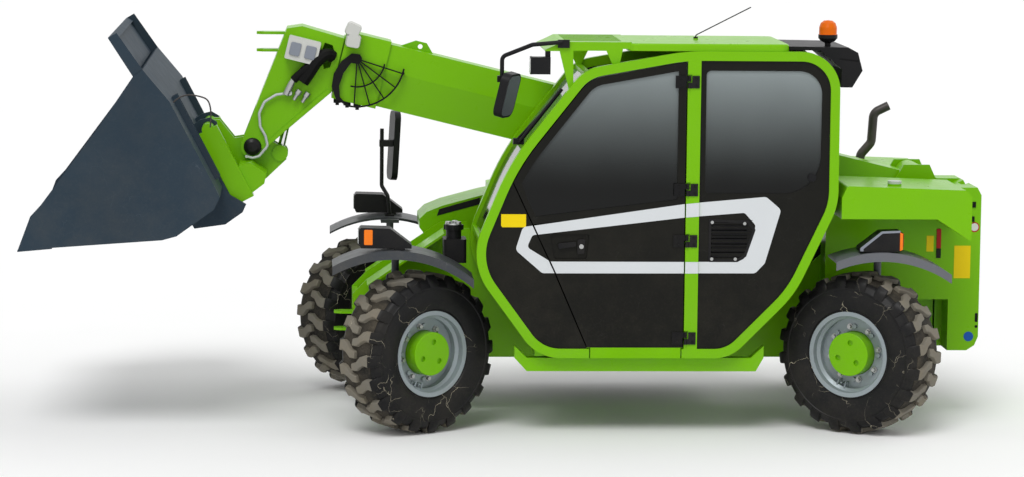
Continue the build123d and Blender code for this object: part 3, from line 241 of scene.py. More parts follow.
def glass_finish(name, top, bottom, low, high, clear):
    """Smoked glass whose base colour holds a painted reflection of the sky: it lightens from its lower edge to its
    top.
    """
    material, tree, shader = principled(name)
    place = add_node(tree, "ShaderNodeTexCoord").outputs["Object"]
    z = add_node(tree, "ShaderNodeSeparateXYZ", {}, {0: place}).outputs[2]
    # painted reflection: the base colour runs from the dark tint low down to the pale sky colour at the top, its edge
    # wobbled by noise
    reflection_drift = maths(tree, "MULTIPLY", maths(tree, "SUBTRACT", noise(tree, place, 1.7, 2.0), 0.5), 0.10)
    height = ramp(tree, maths(tree, "ADD", z, reflection_drift), low, high)
    tree.links.new(mix_colour(tree, maths(tree, "POWER", height, 1.8), bottom, top), shader.inputs["Base Color"])
    upright = add_node(tree, "ShaderNodeMapping", {}, {"Vector": place, "Scale": (2, 2, 0.5)}).outputs[0]
    tree.links.new(ramp(tree, noise(tree, upright, 9.0), 0.3, 0.75, 0.03, 0.12), shader.inputs["Roughness"])
    for key, value in (("Transmission Weight", clear), ("Specular IOR Level", 0.12), ("IOR", 1.5)):
        shader.inputs[key].default_value = value
    return material


def lens_finish(name, base, glow=0.0, tones=(), coat=0.6, specular=0.5):
    """A clear or tinted lamp lens with moulded ribs."""
    material = finish(name, base, 0.2, dust=0.1, bump=0.0, coat=coat, tones=tones, specular=specular)
    tree = material.node_tree
    place = add_node(tree, "ShaderNodeTexCoord").outputs["Object"]
    ribs = add_node(tree, "ShaderNodeTexWave", {"bands_direction": "Z"}, {"Vector": place, "Scale": 60.0}).outputs[1]
    relief = add_node(tree, "ShaderNodeBump", {}, {"Strength": 0.3, "Distance": 0.002, "Height": ribs})
    shader = tree.nodes["Principled BSDF"]
    tree.links.new(relief.outputs[0], shader.inputs["Normal"])
    if glow:
        shader.inputs["Emission Color"].default_value = tuple(base[:3]) + (1.0,)
        shader.inputs["Emission Strength"].default_value = glow
    return material


def build_finishes(paint):
    """Makes every material, under the short name by which the pieces ask for it."""
    straw, pale, black = srgb(205, 196, 172), srgb(150, 152, 150), srgb(24, 24, 25)
    lime = {"roughness": 0.30, "dust": 0.26, "height": 0.75, "fading": 0.08, "coat": 0.05, "bump": 0.006,
            "specular": 0.14}
    panel = {"roughness": 0.36, "dust": 0.10, "height": 1.2, "fading": 0.25, "grain": 900, "bump": 0.015,
             "specular": 0.10, "marks": (16.0, 0.004, 0.35, 0.06), "mark_colour": pale}
    FINISHES.update(
        lime=finish("Lime paint", paint.lime, **lime),
        lime_frame=finish("Lime paint with black hinges", paint.lime, tones=((black, 1, 0.9005, 9),), **lime),
        lime_roof=finish("Lime paint with black antenna", paint.lime, tones=((black, 2, 2.036, 9),), **lime),
        lime_head=finish("Lime paint with black caps", paint.lime, tones=((black, 3, 0.1365, 9),), **lime),
        lime_boxes=finish("Lime paint with plated cap", paint.lime, tones=((srgb(188, 194, 192), 2, 1.3035, 9),),
                          **lime),
        panel=finish("Dark cab panel", paint.panel, **panel),
        upper_leaf=finish("Dark leaf with black hinges", paint.panel, tones=((black, 1, 0.8966, 9),), **panel),
        lower_leaf=finish("Dark leaf, lime foot", paint.panel,
                          tones=((black, 1, 0.8966, 9), (paint.lime, 2, -9, 0.4612)), **panel),
        black=finish("Black paint", srgb(20, 20, 21), 0.4, dust=0.12, height=1.2, specular=0.14),
        axle=finish("Black axle paint", srgb(26, 26, 26), 0.5, dust=0.6, height=1.0, bump=0.05, specular=0.15),
        plastic=finish("Black moulded plastic", srgb(24, 24, 26), 0.42, dust=0.10, height=1.5, grain=1200, bump=0.04,
                       specular=0.14),
        fender=finish("Grey moulded plastic", paint.fender, 0.38, dust=0.35, height=1.6, fading=0.25, grain=700,
                      bump=0.03, marks=(11.0, 0.005, 0.40, 0.20), mark_colour=pale, specular=0.22,
                      tones=((srgb(60, 64, 69), 0, -0.6, 9),)),
        rim=finish("Silver rim paint", paint.silver, 0.34, 0.25, dust=0.35, height=1.0, specular=0.25),
        slate=finish("Bucket paint", paint.slate, 0.56, dust=0.16, height=2.4, fading=0.30, grain=250, bump=0.04,
                     marks=(9.0, 0.004, 0.40, 0.16), mark_colour=srgb(112, 122, 130), specular=0.08),
        worn=finish("Worn cutting steel", srgb(96, 94, 92), 0.42, 0.7, dust=0.4, height=2.0, fading=0.5, bump=0.05,
                    marks=(20.0, 0.008, 0.6, 0.5), mark_colour=srgb(140, 110, 84)),
        sidewall=finish("Tyre sidewall", paint.rubber, 0.38, dust=0.10, height=1.2, grain=500, bump=0.03,
                        marks=(6.5, 0.005, 0.36, 0.9), mark_colour=straw, specular=0.14),
        tread=finish("Tyre tread", srgb(122, 118, 108), 0.72, dust=0.9, height=2.6, fading=0.4, grain=260, bump=0.25,
                     marks=(12.0, 0.006, 0.2, 0.6), mark_colour=straw, specular=0.15),
        tread_gap=finish("Rubber between the lugs", srgb(38, 37, 35), 0.7, dust=0.5, height=2.6, grain=260, bump=0.2,
                         specular=0.12),
        rubber=finish("Black rubber seal", srgb(16, 16, 16), 0.6, dust=0.10, height=1.2, specular=0.12),
        zinc=finish("Zinc plated steel", srgb(176, 177, 176), 0.3, 0.9, dust=0.2, height=1.2),
        chrome=finish("Chromed rod", srgb(225, 226, 228), 0.08, 1.0, dust=0.05, bump=0.0),
        exhaust=finish("Dark exhaust steel", srgb(58, 55, 54), 0.45, 0.6, height=2.2, fading=0.5),
        stripe=finish("Light grey film", paint.stripe, 0.32, dust=0.06, height=1.2, coat=0.1, bump=0.004),
        yellow=finish("Yellow film", srgb(238, 208, 6), 0.35, dust=0.05, height=1.2, bump=0.004, specular=0.15),
        white=finish("Off-white plastic", srgb(206, 207, 202), dust=0.25, height=2.4, grain=900),
        lamp_white=finish("Off-white lamps on black", black, 0.5, dust=0.05, height=2.4, grain=900, specular=0.1,
                          tones=((srgb(206, 207, 202), 1, 0.161, 9),)),
        grey=finish("Mid grey plastic", srgb(132, 138, 150), dust=0.15, height=2.4, grain=900),
        red=finish("Red reflective film", srgb(170, 20, 16), 0.3, dust=0.05, bump=0.0, specular=0.2),
        blue=finish("Blue film", srgb(16, 84, 170), 0.3, dust=0.04, bump=0.0, specular=0.2),
        hose=finish("Braided hose", srgb(196, 200, 203), 0.45, height=2.0, grain=1500, bump=0.1),
        fabric=finish("Seat cloth", srgb(38, 38, 42), 0.85, dust=0.1, grain=1600, bump=0.25),
        mirror=finish("Mirror glass", srgb(205, 212, 214), 0.03, 1.0, dust=0.0, fading=0.0, bump=0.0),
        amber=lens_finish("Amber lens", srgb(236, 118, 10), 0.12, coat=0.2, specular=0.2),
        beacon=lens_finish("Amber dome in a black cup", srgb(226, 104, 6), 0.0, ((black, 2, -9, 2.0745),), 0.05, 0.1),
        clear=lens_finish("Clear lens", srgb(205, 208, 206)),
        # the glass's pale top colour is a painted reflection of the sky; its dark bottom colour is the real smoked
        # tint
        glass=glass_finish("Smoked glass with painted sky reflection", srgb(172, 183, 184), srgb(8, 10, 9), 1.26, 1.98, 0.28),
    )


# ---- places and outlines ----
def mm(x, y, z):
    """A place given in millimetres, as one in metres."""
    return Vector((x, y, z)) / 1000


def side_mm(x, z, y):
    """A point of a side view and its distance from the middle plane, in millimetres, as a place in metres."""
    return mm(x, y, z)


def boom_mm(u, w, y):
    """A point u along the boom and w above its pivot line, in millimetres, as a place in metres."""
    cosine, sine = math.cos(BOOM_ANGLE), math.sin(BOOM_ANGLE)
    return BOOM_PIVOT + mm(u * cosine - w * sine, y, u * sine + w * cosine)


def polar(radius, angle, height=0.0):
    """A place at an angle round the Z axis."""
    return Vector((radius * math.cos(angle), radius * math.sin(angle), height))


def axis_matrix(place, direction):
    """A frame whose Z axis points along a direction."""
    return Matrix.Translation(place) @ Vector(direction).to_track_quat("Z", "Y").to_matrix().to_4x4()


def rounded(points, radius, steps=5):
    """A closed outline with its corners rounded, in the points' own units."""
    result = []
    count = len(points)
    for i in range(count):
        here = Vector(points[i])
        before, after = Vector(points[i - 1]) - here, Vector(points[(i + 1) % count]) - here
        half = before.angle(after) / 2
        reach = min(radius / math.tan(half), before.length * 0.45, after.length * 0.45)
        start, end = here + before.normalized() * reach, here + after.normalized() * reach
        for k in range(steps + 1):
            t = k / steps
            result.append(tuple(start * (1 - t) ** 2 + here * 2 * t * (1 - t) + end * t ** 2))
    return result


def offset_outline(points, inset):
    """An outline drawn in on every side."""
    result = []
    count = len(points)
    after = points[1:] + points[:1]
    turn = 1 if sum(a[0] * b[1] - b[0] * a[1] for a, b in zip(points, after)) > 0 else -1
    for i in range(count):
        here = Vector(points[i])
        a = (here - Vector(points[i - 1])).normalized()
        b = (Vector(after[i]) - here).normalized()
        na, nb = Vector((-a.y, a.x)) * turn, Vector((-b.y, b.x)) * turn
        middle = (na + nb).normalized()
        result.append(tuple(here + middle * (inset / max(0.3, middle.dot(na)))))
    return result


# ---- forms ----
def prism(bm, outline, near, far, place=side_mm):
    """A plate with an outline, between two distances; place turns outline and distance into a place in metres."""
    left, right = ([bm.verts.new(place(a, b, depth)) for a, b in outline] for depth in (near, far))
    bm.faces.new(left)
    bm.faces.new(right[::-1])
    for i in range(len(outline)):
        j = (i + 1) % len(outline)
        bm.faces.new((left[i], right[i], right[j], left[j]))


def block(bm, low, high):
    """A box between two opposite corners in millimetres."""
    prism(bm, ((low[0], low[2]), (high[0], low[2]), (high[0], high[2]), (low[0], high[2])), low[1], high[1])


def band(bm, outer, inner, y_left, y_right):
    """A flat closed band between two outlines with as many corners, seen from the side."""
    rings = []
    for outline, y in ((outer, y_left), (inner, y_left), (inner, y_right), (outer, y_right)):
        rings.append([bm.verts.new(mm(a, y, b)) for a, b in outline])
    count = len(outer)
    for i in range(count):
        j = (i + 1) % count
        for k in range(4):
            a, b = rings[k], rings[(k + 1) % 4]
            bm.faces.new((a[i], a[j], b[j], b[i]))


def rod(bm, start, end, radius, sides=16, taper=1.0):
    """A round bar between two places in metres."""
    bmesh.ops.create_cone(bm, cap_ends=True, segments=sides, radius1=radius, radius2=radius * taper,
                          depth=(end - start).length, matrix=axis_matrix((start + end) / 2, end - start))


def lathe(bm, profile, matrix, steps=96):
    """A closed ring of (radius, height) points spun about the matrix's Z axis."""
    rows = [[bm.verts.new(matrix @ polar(r, 2 * math.pi * i / steps, h)) for r, h in profile] for i in range(steps)]
    count = len(profile)
    for i in range(steps):
        here, there = rows[i], rows[(i + 1) % steps]
        for k in range(count):
            bm.faces.new((here[k], there[k], there[(k + 1) % count], here[(k + 1) % count]))


def dome(bm, profile, matrix, steps=32):
    """A solid of (radius, height) points from pole to pole; the first and last radius are 0."""
    bottom, top = (bm.verts.new(matrix @ Vector((0, 0, profile[end][1]))) for end in (0, -1))
    rows = [[bm.verts.new(matrix @ polar(r, 2 * math.pi * i / steps, h)) for r, h in profile[1:-1]]
            for i in range(steps)]
    for i in range(steps):
        here, there = rows[i], rows[(i + 1) % steps]
        bm.faces.new((bottom, there[0], here[0]))
        bm.faces.new((top, here[-1], there[-1]))
        for k in range(len(here) - 1):
            bm.faces.new((here[k], there[k], there[k + 1], here[k + 1]))


def hose_mesh(bm, points, radius):
    """A round bar along a smooth curve through control points in metres."""
    curve = bpy.data.curves.new("route", "CURVE")
    curve.dimensions = "3D"
    curve.bevel_depth = radius
    curve.bevel_resolution = 3
    curve.use_fill_caps = True
    curve.resolution_u = 6
    spline = curve.splines.new("NURBS")
    spline.points.add(len(points) - 1)
    for point, place in zip(spline.points, points):
        point.co = (*place, 1)
    spline.order_u = 3
    spline.use_endpoint_u = True
    carrier = bpy.data.objects.new("route", curve)
    bpy.context.collection.objects.link(carrier)
    mesh = bpy.data.meshes.new_from_object(carrier.evaluated_get(bpy.context.evaluated_depsgraph_get()))
    bm.from_mesh(mesh)
    bpy.data.objects.remove(carrier)
    bpy.data.curves.remove(curve)
    bpy.data.meshes.remove(mesh)


def cut(bm, place, normal):
    """Removes what lies beyond a plane and closes the hole."""
    geometry = bm.verts[:] + bm.edges[:] + bm.faces[:]
    done = bmesh.ops.bisect_plane(bm, geom=geometry, plane_co=place, plane_no=normal, clear_outer=True)
    edges = [item for item in done["geom_cut"] if isinstance(item, bmesh.types.BMEdge)]
    bmesh.ops.holes_fill(bm, edges=edges, sides=8)


# ---- pieces ----
def to_mesh(name, bm):
    """The plain mesh of a finished form, its normals turned outward."""
    bmesh.ops.recalc_face_normals(bm, faces=bm.faces)
    mesh = bpy.data.meshes.new(name)
    bm.to_mesh(mesh)
    bm.free()
    return mesh


def mesh_piece(name, mesh, material, body, slot_name, bevel=0.0, smooth=35, replaced=()):
    """A finished piece of a plain mesh: material, rounded edges, and the body that it rides on.

    Material None keeps the mesh's own. Bevel is the rounding's width, smooth the angle below which faces blend.
    """
    if material:
        mesh.materials.clear()
        mesh.materials.append(FINISHES[material])
    mesh.shade_smooth()
    mesh.set_sharp_from_angle(angle=math.radians(smooth))
    thing = bpy.data.objects.new(name, mesh)
    bpy.context.collection.objects.link(thing)
    if bevel:
        edge = thing.modifiers.new("Rounded edges", "BEVEL")
        edge.width = bevel
        edge.segments = 2
        edge.limit_method = "ANGLE"
        edge.angle_limit = math.radians(40)
        edge.harden_normals = True
    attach(thing, body)
    if replaced:
        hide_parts(*replaced)
    return thing


def piece(name, bm, *looks, **finishing):
    """A finished piece of a form, with what mesh_piece takes after the mesh."""
    return mesh_piece(name, to_mesh(name, bm), *looks, **finishing)


def made(name, material, body, slot_name, *forms, **finishing):
    """A piece of simple forms, each given as its function and what that takes after the mesh."""
    bm = bmesh.new()
    for form, *values in forms:
        form(bm, *values)
    return piece(name, bm, material, body, slot_name, **finishing)


# ---- copies by geometry nodes ----
def copy_tree(name, sockets):
    """An empty geometry tree with its own sockets between those that every tree of copies has."""
    return node_tree(name, "GeometryNodeTree", (
        ("Geometry", "Geometry", None), ("Part", "Object", None), *sockets, ("Material", "Material", None)),
        (("Geometry", "Geometry"),))


def place_copies(tree, given, result, points, turn, **more):
    """Puts the part at every point, makes the copies real and gives them the material."""
    part = add_node(tree, "GeometryNodeObjectInfo", {}, {"Object": given["Part"]}).outputs["Geometry"]
    copies = add_node(tree, "GeometryNodeInstanceOnPoints", {}, {
        "Points": points, "Instance": part, "Rotation": turn, **more}).outputs[0]
    real = add_node(tree, "GeometryNodeRealizeInstances", {}, {0: copies}).outputs[0]
    coated = add_node(tree, "GeometryNodeSetMaterial", {}, {"Geometry": real, "Material": given["Material"]})
    tree.links.new(coated.outputs[0], result[0])
    return tree


def build_ring_tree():
    """Copies of a part evenly round the Z axis."""
    tree, given, result = copy_tree("Ring of parts", (
        ("Count", "Int", 8), ("Radius", "Float", 0.1), ("Lift", "Float", 0.0), ("Phase", "Float", 0.0)))
    index = add_node(tree, "GeometryNodeInputIndex").outputs[0]
    turn = maths(tree, "MULTIPLY_ADD", index, maths(tree, "DIVIDE", 2 * math.pi, given["Count"]))
    tree.links.new(given["Phase"], turn.node.inputs[2])
    across, along = (maths(tree, "MULTIPLY", maths(tree, wave, turn), given["Radius"]) for wave in ("COSINE", "SINE"))
    place = add_node(tree, "ShaderNodeCombineXYZ", {}, {0: across, 1: along, 2: given["Lift"]}).outputs[0]
    points = add_node(tree, "GeometryNodePoints", {}, {"Count": given["Count"], "Position": place}).outputs[0]
    return place_copies(tree, given, result, points, add_node(tree, "ShaderNodeCombineXYZ", {}, {2: turn}).outputs[0])


def build_row_tree():
    """Copies of a part in a straight row, each turned alike."""
    tree, given, result = copy_tree("Row of parts", (
        ("Count", "Int", 8), ("Start", "Vector", None), ("Step", "Vector", None), ("Turn", "Vector", None)))
    index = add_node(tree, "GeometryNodeInputIndex").outputs[0]
    run = add_node(tree, "ShaderNodeVectorMath", {"operation": "SCALE"}, {0: given["Step"], "Scale": index})
    place = add_node(tree, "ShaderNodeVectorMath", {"operation": "ADD"}, {
        0: given["Start"], 1: run.outputs[0]}).outputs[0]
    points = add_node(tree, "GeometryNodePoints", {}, {"Count": given["Count"], "Position": place}).outputs[0]
    return place_copies(tree, given, result, points, given["Turn"])


def build_aimed_tree():
    """Copies of a part at given points, each turned to its point's own direction."""
    tree, given, result = copy_tree("Aimed parts", (("Size", "Float", 1.0),))
    aim = add_node(tree, "GeometryNodeInputNamedAttribute", {"data_type": "FLOAT_VECTOR"}, {"Name": "aim"}).outputs[0]
    turn = add_node(tree, "FunctionNodeAlignRotationToVector", {"axis": "Z"}, {"Vector": aim}).outputs[0]
    return place_copies(tree, given, result, given["Geometry"], turn, Scale=given["Size"])


def grow(kind, part, finish_name, base_mesh=None, **values):
    """Copies a part by one of the trees, its inputs set by name, and returns the plain mesh that results."""
    tree = TREES[kind]
    carrier = bpy.data.objects.new("carrier", base_mesh or bpy.data.meshes.new("none"))
    bpy.context.collection.objects.link(carrier)
    modifier = carrier.modifiers.new("Grow", "NODES")
    modifier.node_group = tree
    values.update(Part=part, Material=FINISHES[finish_name])
    for item in tree.interface.items_tree:
        if item.in_out == "INPUT" and item.name in values:
            modifier[item.identifier] = values[item.name]
    bpy.context.view_layer.update()
    result = carrier.evaluated_get(bpy.context.evaluated_depsgraph_get())
    mesh = bpy.data.meshes.new_from_object(result)
    bpy.data.objects.remove(carrier)
    return mesh


def stock_part(name, bm):
    """A part kept out of sight for a tree to copy."""
    return bpy.data.objects.new(name, to_mesh(name, bm))


def points_mesh(places):
    """A mesh of loose points, each with a direction: a list of (place, direction)."""
    mesh = bpy.data.meshes.new("points")
    mesh.from_pydata([place for place, aim in places], [], [])
    layer = mesh.attributes.new("aim", "FLOAT_VECTOR", "POINT")
    for item, (place, aim) in zip(layer.data, places):
        item.vector = aim
    return mesh


def hex_bolt(radius, height):
    """A bolt's head on its washer, upright on Z."""
    bm = bmesh.new()
    for sides, foot, top, low, high in ((16, 1.45, 1.40, 0.0, 0.3), (6, 1.0, 0.94, 0.3, 1.0)):
        bmesh.ops.create_cone(bm, cap_ends=True, segments=sides, radius1=radius * foot, radius2=radius * top,
                              depth=height * (high - low),
                              matrix=Matrix.Translation((0, 0, height * (low + high) / 2)))
    return stock_part("bolt", bm)


def bolts(name, places, body, radius, height, finish_name, slot_name):
    """Bolts' heads at a list of (place, direction)."""
    mesh = grow("aimed", hex_bolt(radius, height), finish_name, points_mesh(places), Size=1.0)
    return mesh_piece(name, mesh, None, body, slot_name)


# ---- tyres and wheels ----
# radius and distance from the middle plane: one half of the tyre's casing, bead first
CASING = ((0.210, 0.124), (0.222, 0.132), (0.231, 0.131), (0.236, 0.138), (0.262, 0.147), (0.300, 0.151),
          (0.340, 0.150), (0.344, 0.153), (0.350, 0.153), (0.353, 0.149), (0.372, 0.141), (0.385, 0.126),
          (0.391, 0.100), (0.394, 0.050))
# the same of the rubber between the lugs, all round
TREAD_BASE = ((0.3905, -0.112), (0.3965, -0.050), (0.3965, 0.050), (0.3905, 0.112), (0.384, 0.112), (0.384, -0.112))
# a lug from the tyre's middle to its shoulder: distance across, face radius, place along the tread, half width
LUG = ((-0.014, 0.4165, 0.050, 0.017), (0.026, 0.4170, 0.044, 0.022), (0.060, 0.4165, 0.016, 0.026),
       (0.088, 0.4160, 0.006, 0.025), (0.118, 0.4140, 0.010, 0.027), (0.134, 0.4020, 0.008, 0.030),
       (0.1475, 0.3780, 0.004, 0.031), (0.1525, 0.3560, 0.002, 0.028))
TREAD_RADIUS = 0.417        # over the lugs, in the tyre's middle
CROWN_EDGE = 0.39           # a lug's faces within this radius lie on the shoulder
LUG_ROOT = 0.004            # how far a lug reaches into the casing
SHOULDER_STEP = 0.012       # a lug's height on the shoulder
LUG_DRAFT = 0.006           # how much wider a lug's foot is than its face, on each side
WHEEL_TURN = 0.37           # radians from one wheel's tread to the next one's
VALVE_ANGLE = -1.9          # radians round the rim
GUARD_SPREAD = 0.126        # from the valve to each bar of its guard
VALVE_GUARD = ((0.186, 0.060), (0.160, 0.062), (0.160, 0.092), (0.186, 0.092))    # a bar's radius and height


def lug_part(height, half, rows_across):
    """Part of a lug of one tyre half, its tread face towards local X and the wheel's axis along Z."""
    bm = bmesh.new()
    rows = []
    for across, radius, along, half_width in rows_across:
        base = radius - height - LUG_ROOT if radius > CROWN_EDGE else radius - SHOULDER_STEP
        foot = half_width + LUG_DRAFT
        row = []
        for r, w in ((base, foot), (radius, half_width), (radius, -half_width), (base, -foot)):
            row.append(bm.verts.new(polar(r, (along + w) / TREAD_RADIUS, across * half)))
        rows.append(row)
    for here, there in zip(rows, rows[1:]):
        for k in range(4):
            bm.faces.new((here[k], here[(k + 1) % 4], there[(k + 1) % 4], there[k]))
    bm.faces.new(rows[0])
    bm.faces.new(rows[-1][::-1])
    bmesh.ops.recalc_face_normals(bm, faces=bm.faces)
    edges = [e for e in bm.edges if len(e.link_faces) == 2 and e.calc_face_angle() > 0.6]
    bmesh.ops.bevel(bm, geom=edges, offset=0.003, segments=1, affect="EDGES")
    return stock_part("lug", bm)


def wheel_matrix(wheel):
    """A wheel's own frame: its middle, with Z along its axle."""
    joint = JOINTS[wheel + "_roll"]
    return axis_matrix(Vector(joint["pos_m"]), joint["axis"])


class HANDLER_OT_tyres(bpy.types.Operator):
    """Casings with their lugs, around the four rims"""
    bl_idname = "handler.tyres"
    bl_label = "Tyres"

    def execute(self, context):
        sizes = context.scene.handler_sizes
        casing = CASING + tuple((r, -t) for r, t in reversed(CASING))
        lugs = [(name, look, [lug_part(sizes.lug_height, half, rows) for half in (1, -1)])
                for name, look, rows in (("tread", "tread", LUG[:5]), ("shoulders", "sidewall", LUG[4:]))]
        for number, wheel in enumerate(WHEELS):
            matrix = wheel_matrix(wheel) @ Matrix.Rotation(WHEEL_TURN * number, 4, "Z")
            rides, tyre = (f"{wheel}_wheel", "tyre_rubber"), (f"{wheel}_tyre",)
            made(f"casing_{wheel}", "sidewall", *rides, (lathe, casing, matrix), replaced=tyre)
            for name, look, halves in lugs:
                bm = bmesh.new()
                for side, lug in enumerate(halves):
                    mesh = grow("ring", lug, look, Count=sizes.lugs, Radius=0.0, Lift=0.0,
                                Phase=side * math.pi / sizes.lugs)
                    mesh.transform(matrix)
                    bm.from_mesh(mesh)
                piece(f"{name}_{wheel}", bm, look, *rides, smooth=28, replaced=tyre)
            made(f"tread_base_{wheel}", "tread_gap", *rides, (lathe, TREAD_BASE, matrix), replaced=tyre)
        return {"FINISHED"}


class HANDLER_OT_wheel_trim(bpy.types.Operator):
    """Wheel nuts, and valves with their guards"""
    bl_idname = "handler.wheel_trim"
    bl_label = "Wheel trim"

    def execute(self, context):
        nut = hex_bolt(0.0115, 0.022)
        for wheel in WHEELS:
            matrix = wheel_matrix(wheel)
            rides = (f"{wheel}_wheel", "rim_paint")
            mesh = grow("ring", nut, "zinc", Count=8, Radius=0.140, Lift=0.0555, Phase=0.2)
            mesh.transform(matrix)
            mesh_piece(f"nuts_{wheel}", mesh, None, *rides)
            bars = []
            for angle in (VALVE_ANGLE - GUARD_SPREAD, VALVE_ANGLE + GUARD_SPREAD):
                guard = [matrix @ polar(r, angle, h) for r, h in VALVE_GUARD]
                bars += [(rod, start, end, 0.004, 8) for start, end in zip(guard, guard[1:])]
            stem = (rod, matrix @ polar(0.172, VALVE_ANGLE, 0.057), matrix @ polar(0.166, VALVE_ANGLE, 0.098),
                    0.006, 12, 0.7)
            made(f"valve_{wheel}", "rim", *rides, *bars, stem)
        return {"FINISHED"}


# ---- cab ----
# side views, in millimetres: x and z
STRIPE_OUTER = ((-33, 966), (-70, 1084), (-904, 1207), (-1323, 1245), (-1402, 1178), (-1322, 900), (-1273, 848),
                (-172, 846))
# the same loop's hole, corner for corner
STRIPE_INNER = ((-92, 980), (-120, 1043), (-904, 1137), (-1213, 1162), (-1272, 1096), (-1216, 925), (-1180, 907),
                (-212, 907))
VENT = ((-1028, 1130), (-1235, 1122), (-1272, 1075), (-1225, 935), (-1180, 906), (-1028, 906))
# the front edge of the lower leaf where the stripe crosses it, in metres
DOOR_EDGE_TOP, DOOR_EDGE_FOOT = Vector((-0.123, 0, 1.098)), Vector((-0.228, 0, 0.875))
# height of each hinge, and the leaf that it carries
HINGES = ((510, "lower_door"), (1015, "lower_door"), (1280, "upper_door"), (1835, "upper_door"))
# name, middle, turn about the upright, lean, width, height, and the glass's distance behind the middle
MIRRORS = (("near", (15, 840, 1760), 65, 14, 155, 212, 20.5), ("far", (549, -840, 1345), -81, 3, 150, 367, 15.5))


class HANDLER_OT_door_trim(bpy.types.Operator):
    """Stripe, hinges' screws, handle, lock, window catch and a blank plate"""
    bl_idname = "handler.door_trim"
    bl_label = "Door trim"

    def execute(self, context):
        # the stripe, cut where the leaf and the panels meet: body, plane's place and outward normal of each cut
        edge = DOOR_EDGE_FOOT - DOOR_EDGE_TOP
        ahead = Vector((-edge.z, 0, edge.x)).normalized()
        front, rear = Vector((1, 0, 0)), Vector((-1, 0, 0))
        parts = (
            ("stripe_door", "lower_door", 896.2, ((DOOR_EDGE_TOP - ahead * 0.002, ahead), (mm(-902, 0, 0), rear))),
            ("stripe_front", "chassis", 890.2, ((DOOR_EDGE_TOP + ahead * 0.006, -ahead),)),
            ("stripe_pillar", "chassis", 900.4, ((mm(-909, 0, 0), front), (mm(-975.5, 0, 0), rear))),
            ("stripe_rear", "chassis", 890.2, ((mm(-977, 0, 0), front),)),
        )
        outer, inner = rounded(STRIPE_OUTER, 30), rounded(STRIPE_INNER, 24)
        for name, body, y, cuts in parts:
            bm = bmesh.new()
            band(bm, outer, inner, y + 1.5, y - 0.3)
            bmesh.ops.triangulate(bm, faces=bm.faces)
            for place, normal in cuts:
                cut(bm, place, normal)
            piece(name, bm, "stripe", body, "dark_panel")
        heads = {"chassis": [], "lower_door": [], "upper_door": []}
        for z, body in HINGES:
            for dz in (-18, 18):
                heads["chassis"].append((mm(-952, 905.5, z + dz), LEFT))
                heads[body].append((mm(-872, 902.5, z + dz), LEFT))
        for body, places in heads.items():
            bolts(f"hinge_bolts_{body}", places, body, 0.005, 0.005, "black", "black_paint")
        made("door_handle", "plastic", "lower_door", "black_paint",
             (prism, rounded(((-250, 1000), (-345, 1010), (-345, 985), (-255, 972)), 8), 900, 888),
             (prism, rounded(((-352, 1020), (-392, 1024), (-388, 948), (-350, 944)), 8), 898, 886), bevel=0.002)
        made("door_lock", "zinc", "lower_door", "black_paint",
             (rod, mm(-372, 896, 985), mm(-372, 902, 985), 0.012, 20), bevel=0.001)
        made("plate_cab_corner", "yellow", "chassis", "dark_panel",
             (prism, ((-86, 1083), (36, 1083), (42, 1092), (42, 1150), (-86, 1150)), 891.2, 889.5))
        made("window_catch", "plastic", "chassis", "dark_panel",
             (rod, mm(-1559, 884, 1345), mm(-1559, 893, 1345), 0.022, 24), bevel=0.002)
        return {"FINISHED"}


class HANDLER_OT_vents(bpy.types.Operator):
    """The cab's intake with its frame, slats and screws, and the engine cover's louvres"""
    bl_idname = "handler.vents"
    bl_label = "Vents"

    def execute(self, context):
        made("vent_frame", "plastic", "chassis", "dark_panel",
             (band, rounded(VENT, 10), rounded(offset_outline(VENT, 15), 6), 892.5, 889.5), bevel=0.002)
        slat = bmesh.new()
        prism(slat, ((-104, -6), (104, -6), (104, 6), (-104, 6)), 2, -2)
        bm = bmesh.new()
        bm.from_mesh(grow("row", stock_part("slat", slat), "plastic", Count=14, Start=(-1.1505, 0.8880, 0.934),
                          Step=(0, 0, 0.0143), Turn=(-0.6, 0, 0)))
        # the frame's two slanting sides trim the slats' ends
        cut(bm, mm(-1260, 0, 1075), Vector((-140, 0, -47)).normalized())
        cut(bm, mm(-1210, 0, 935), Vector((-29, 0, -45)).normalized())
        piece("vent_slats", bm, "plastic", "chassis", "dark_panel")
        corners = ((-1046, 1112), (-1214, 1106), (-1046, 922), (-1168, 922))
        bolts("vent_screws", [(mm(x, 892.4, z), LEFT) for x, z in corners], "chassis", 0.006, 0.003, "zinc",
              "dark_panel")
        louvre = bmesh.new()
        prism(louvre, ((-13, -84), (13, -84), (13, 84), (-13, 84)), 1.5, -1.5)
        mesh = grow("row", stock_part("louvre", louvre), "lime", Count=9, Start=(-1.163, -0.8985, 1.095),
                    Step=(0.066, 0, 0), Turn=(0, 0, 0.5))
        mesh_piece("cover_louvres", mesh, None, "engine_cover", "lime_paint")
        return {"FINISHED"}


def mirror_plane(middle, turn, lean):
    """The place function of a mirror: across its face, up it, and behind its middle, in millimetres."""
    a, b = math.radians(turn), math.radians(lean)
    side = 1 if turn > 0 else -1
    across = Vector((math.cos(a), math.sin(a), 0))
    away = Vector((math.sin(a) * math.cos(b) * side, -math.cos(a) * math.cos(b) * side, math.sin(b)))
    up = away.cross(across)
    return lambda u, v, depth: (Vector(middle) + across * u + up * v - away * depth) / 1000


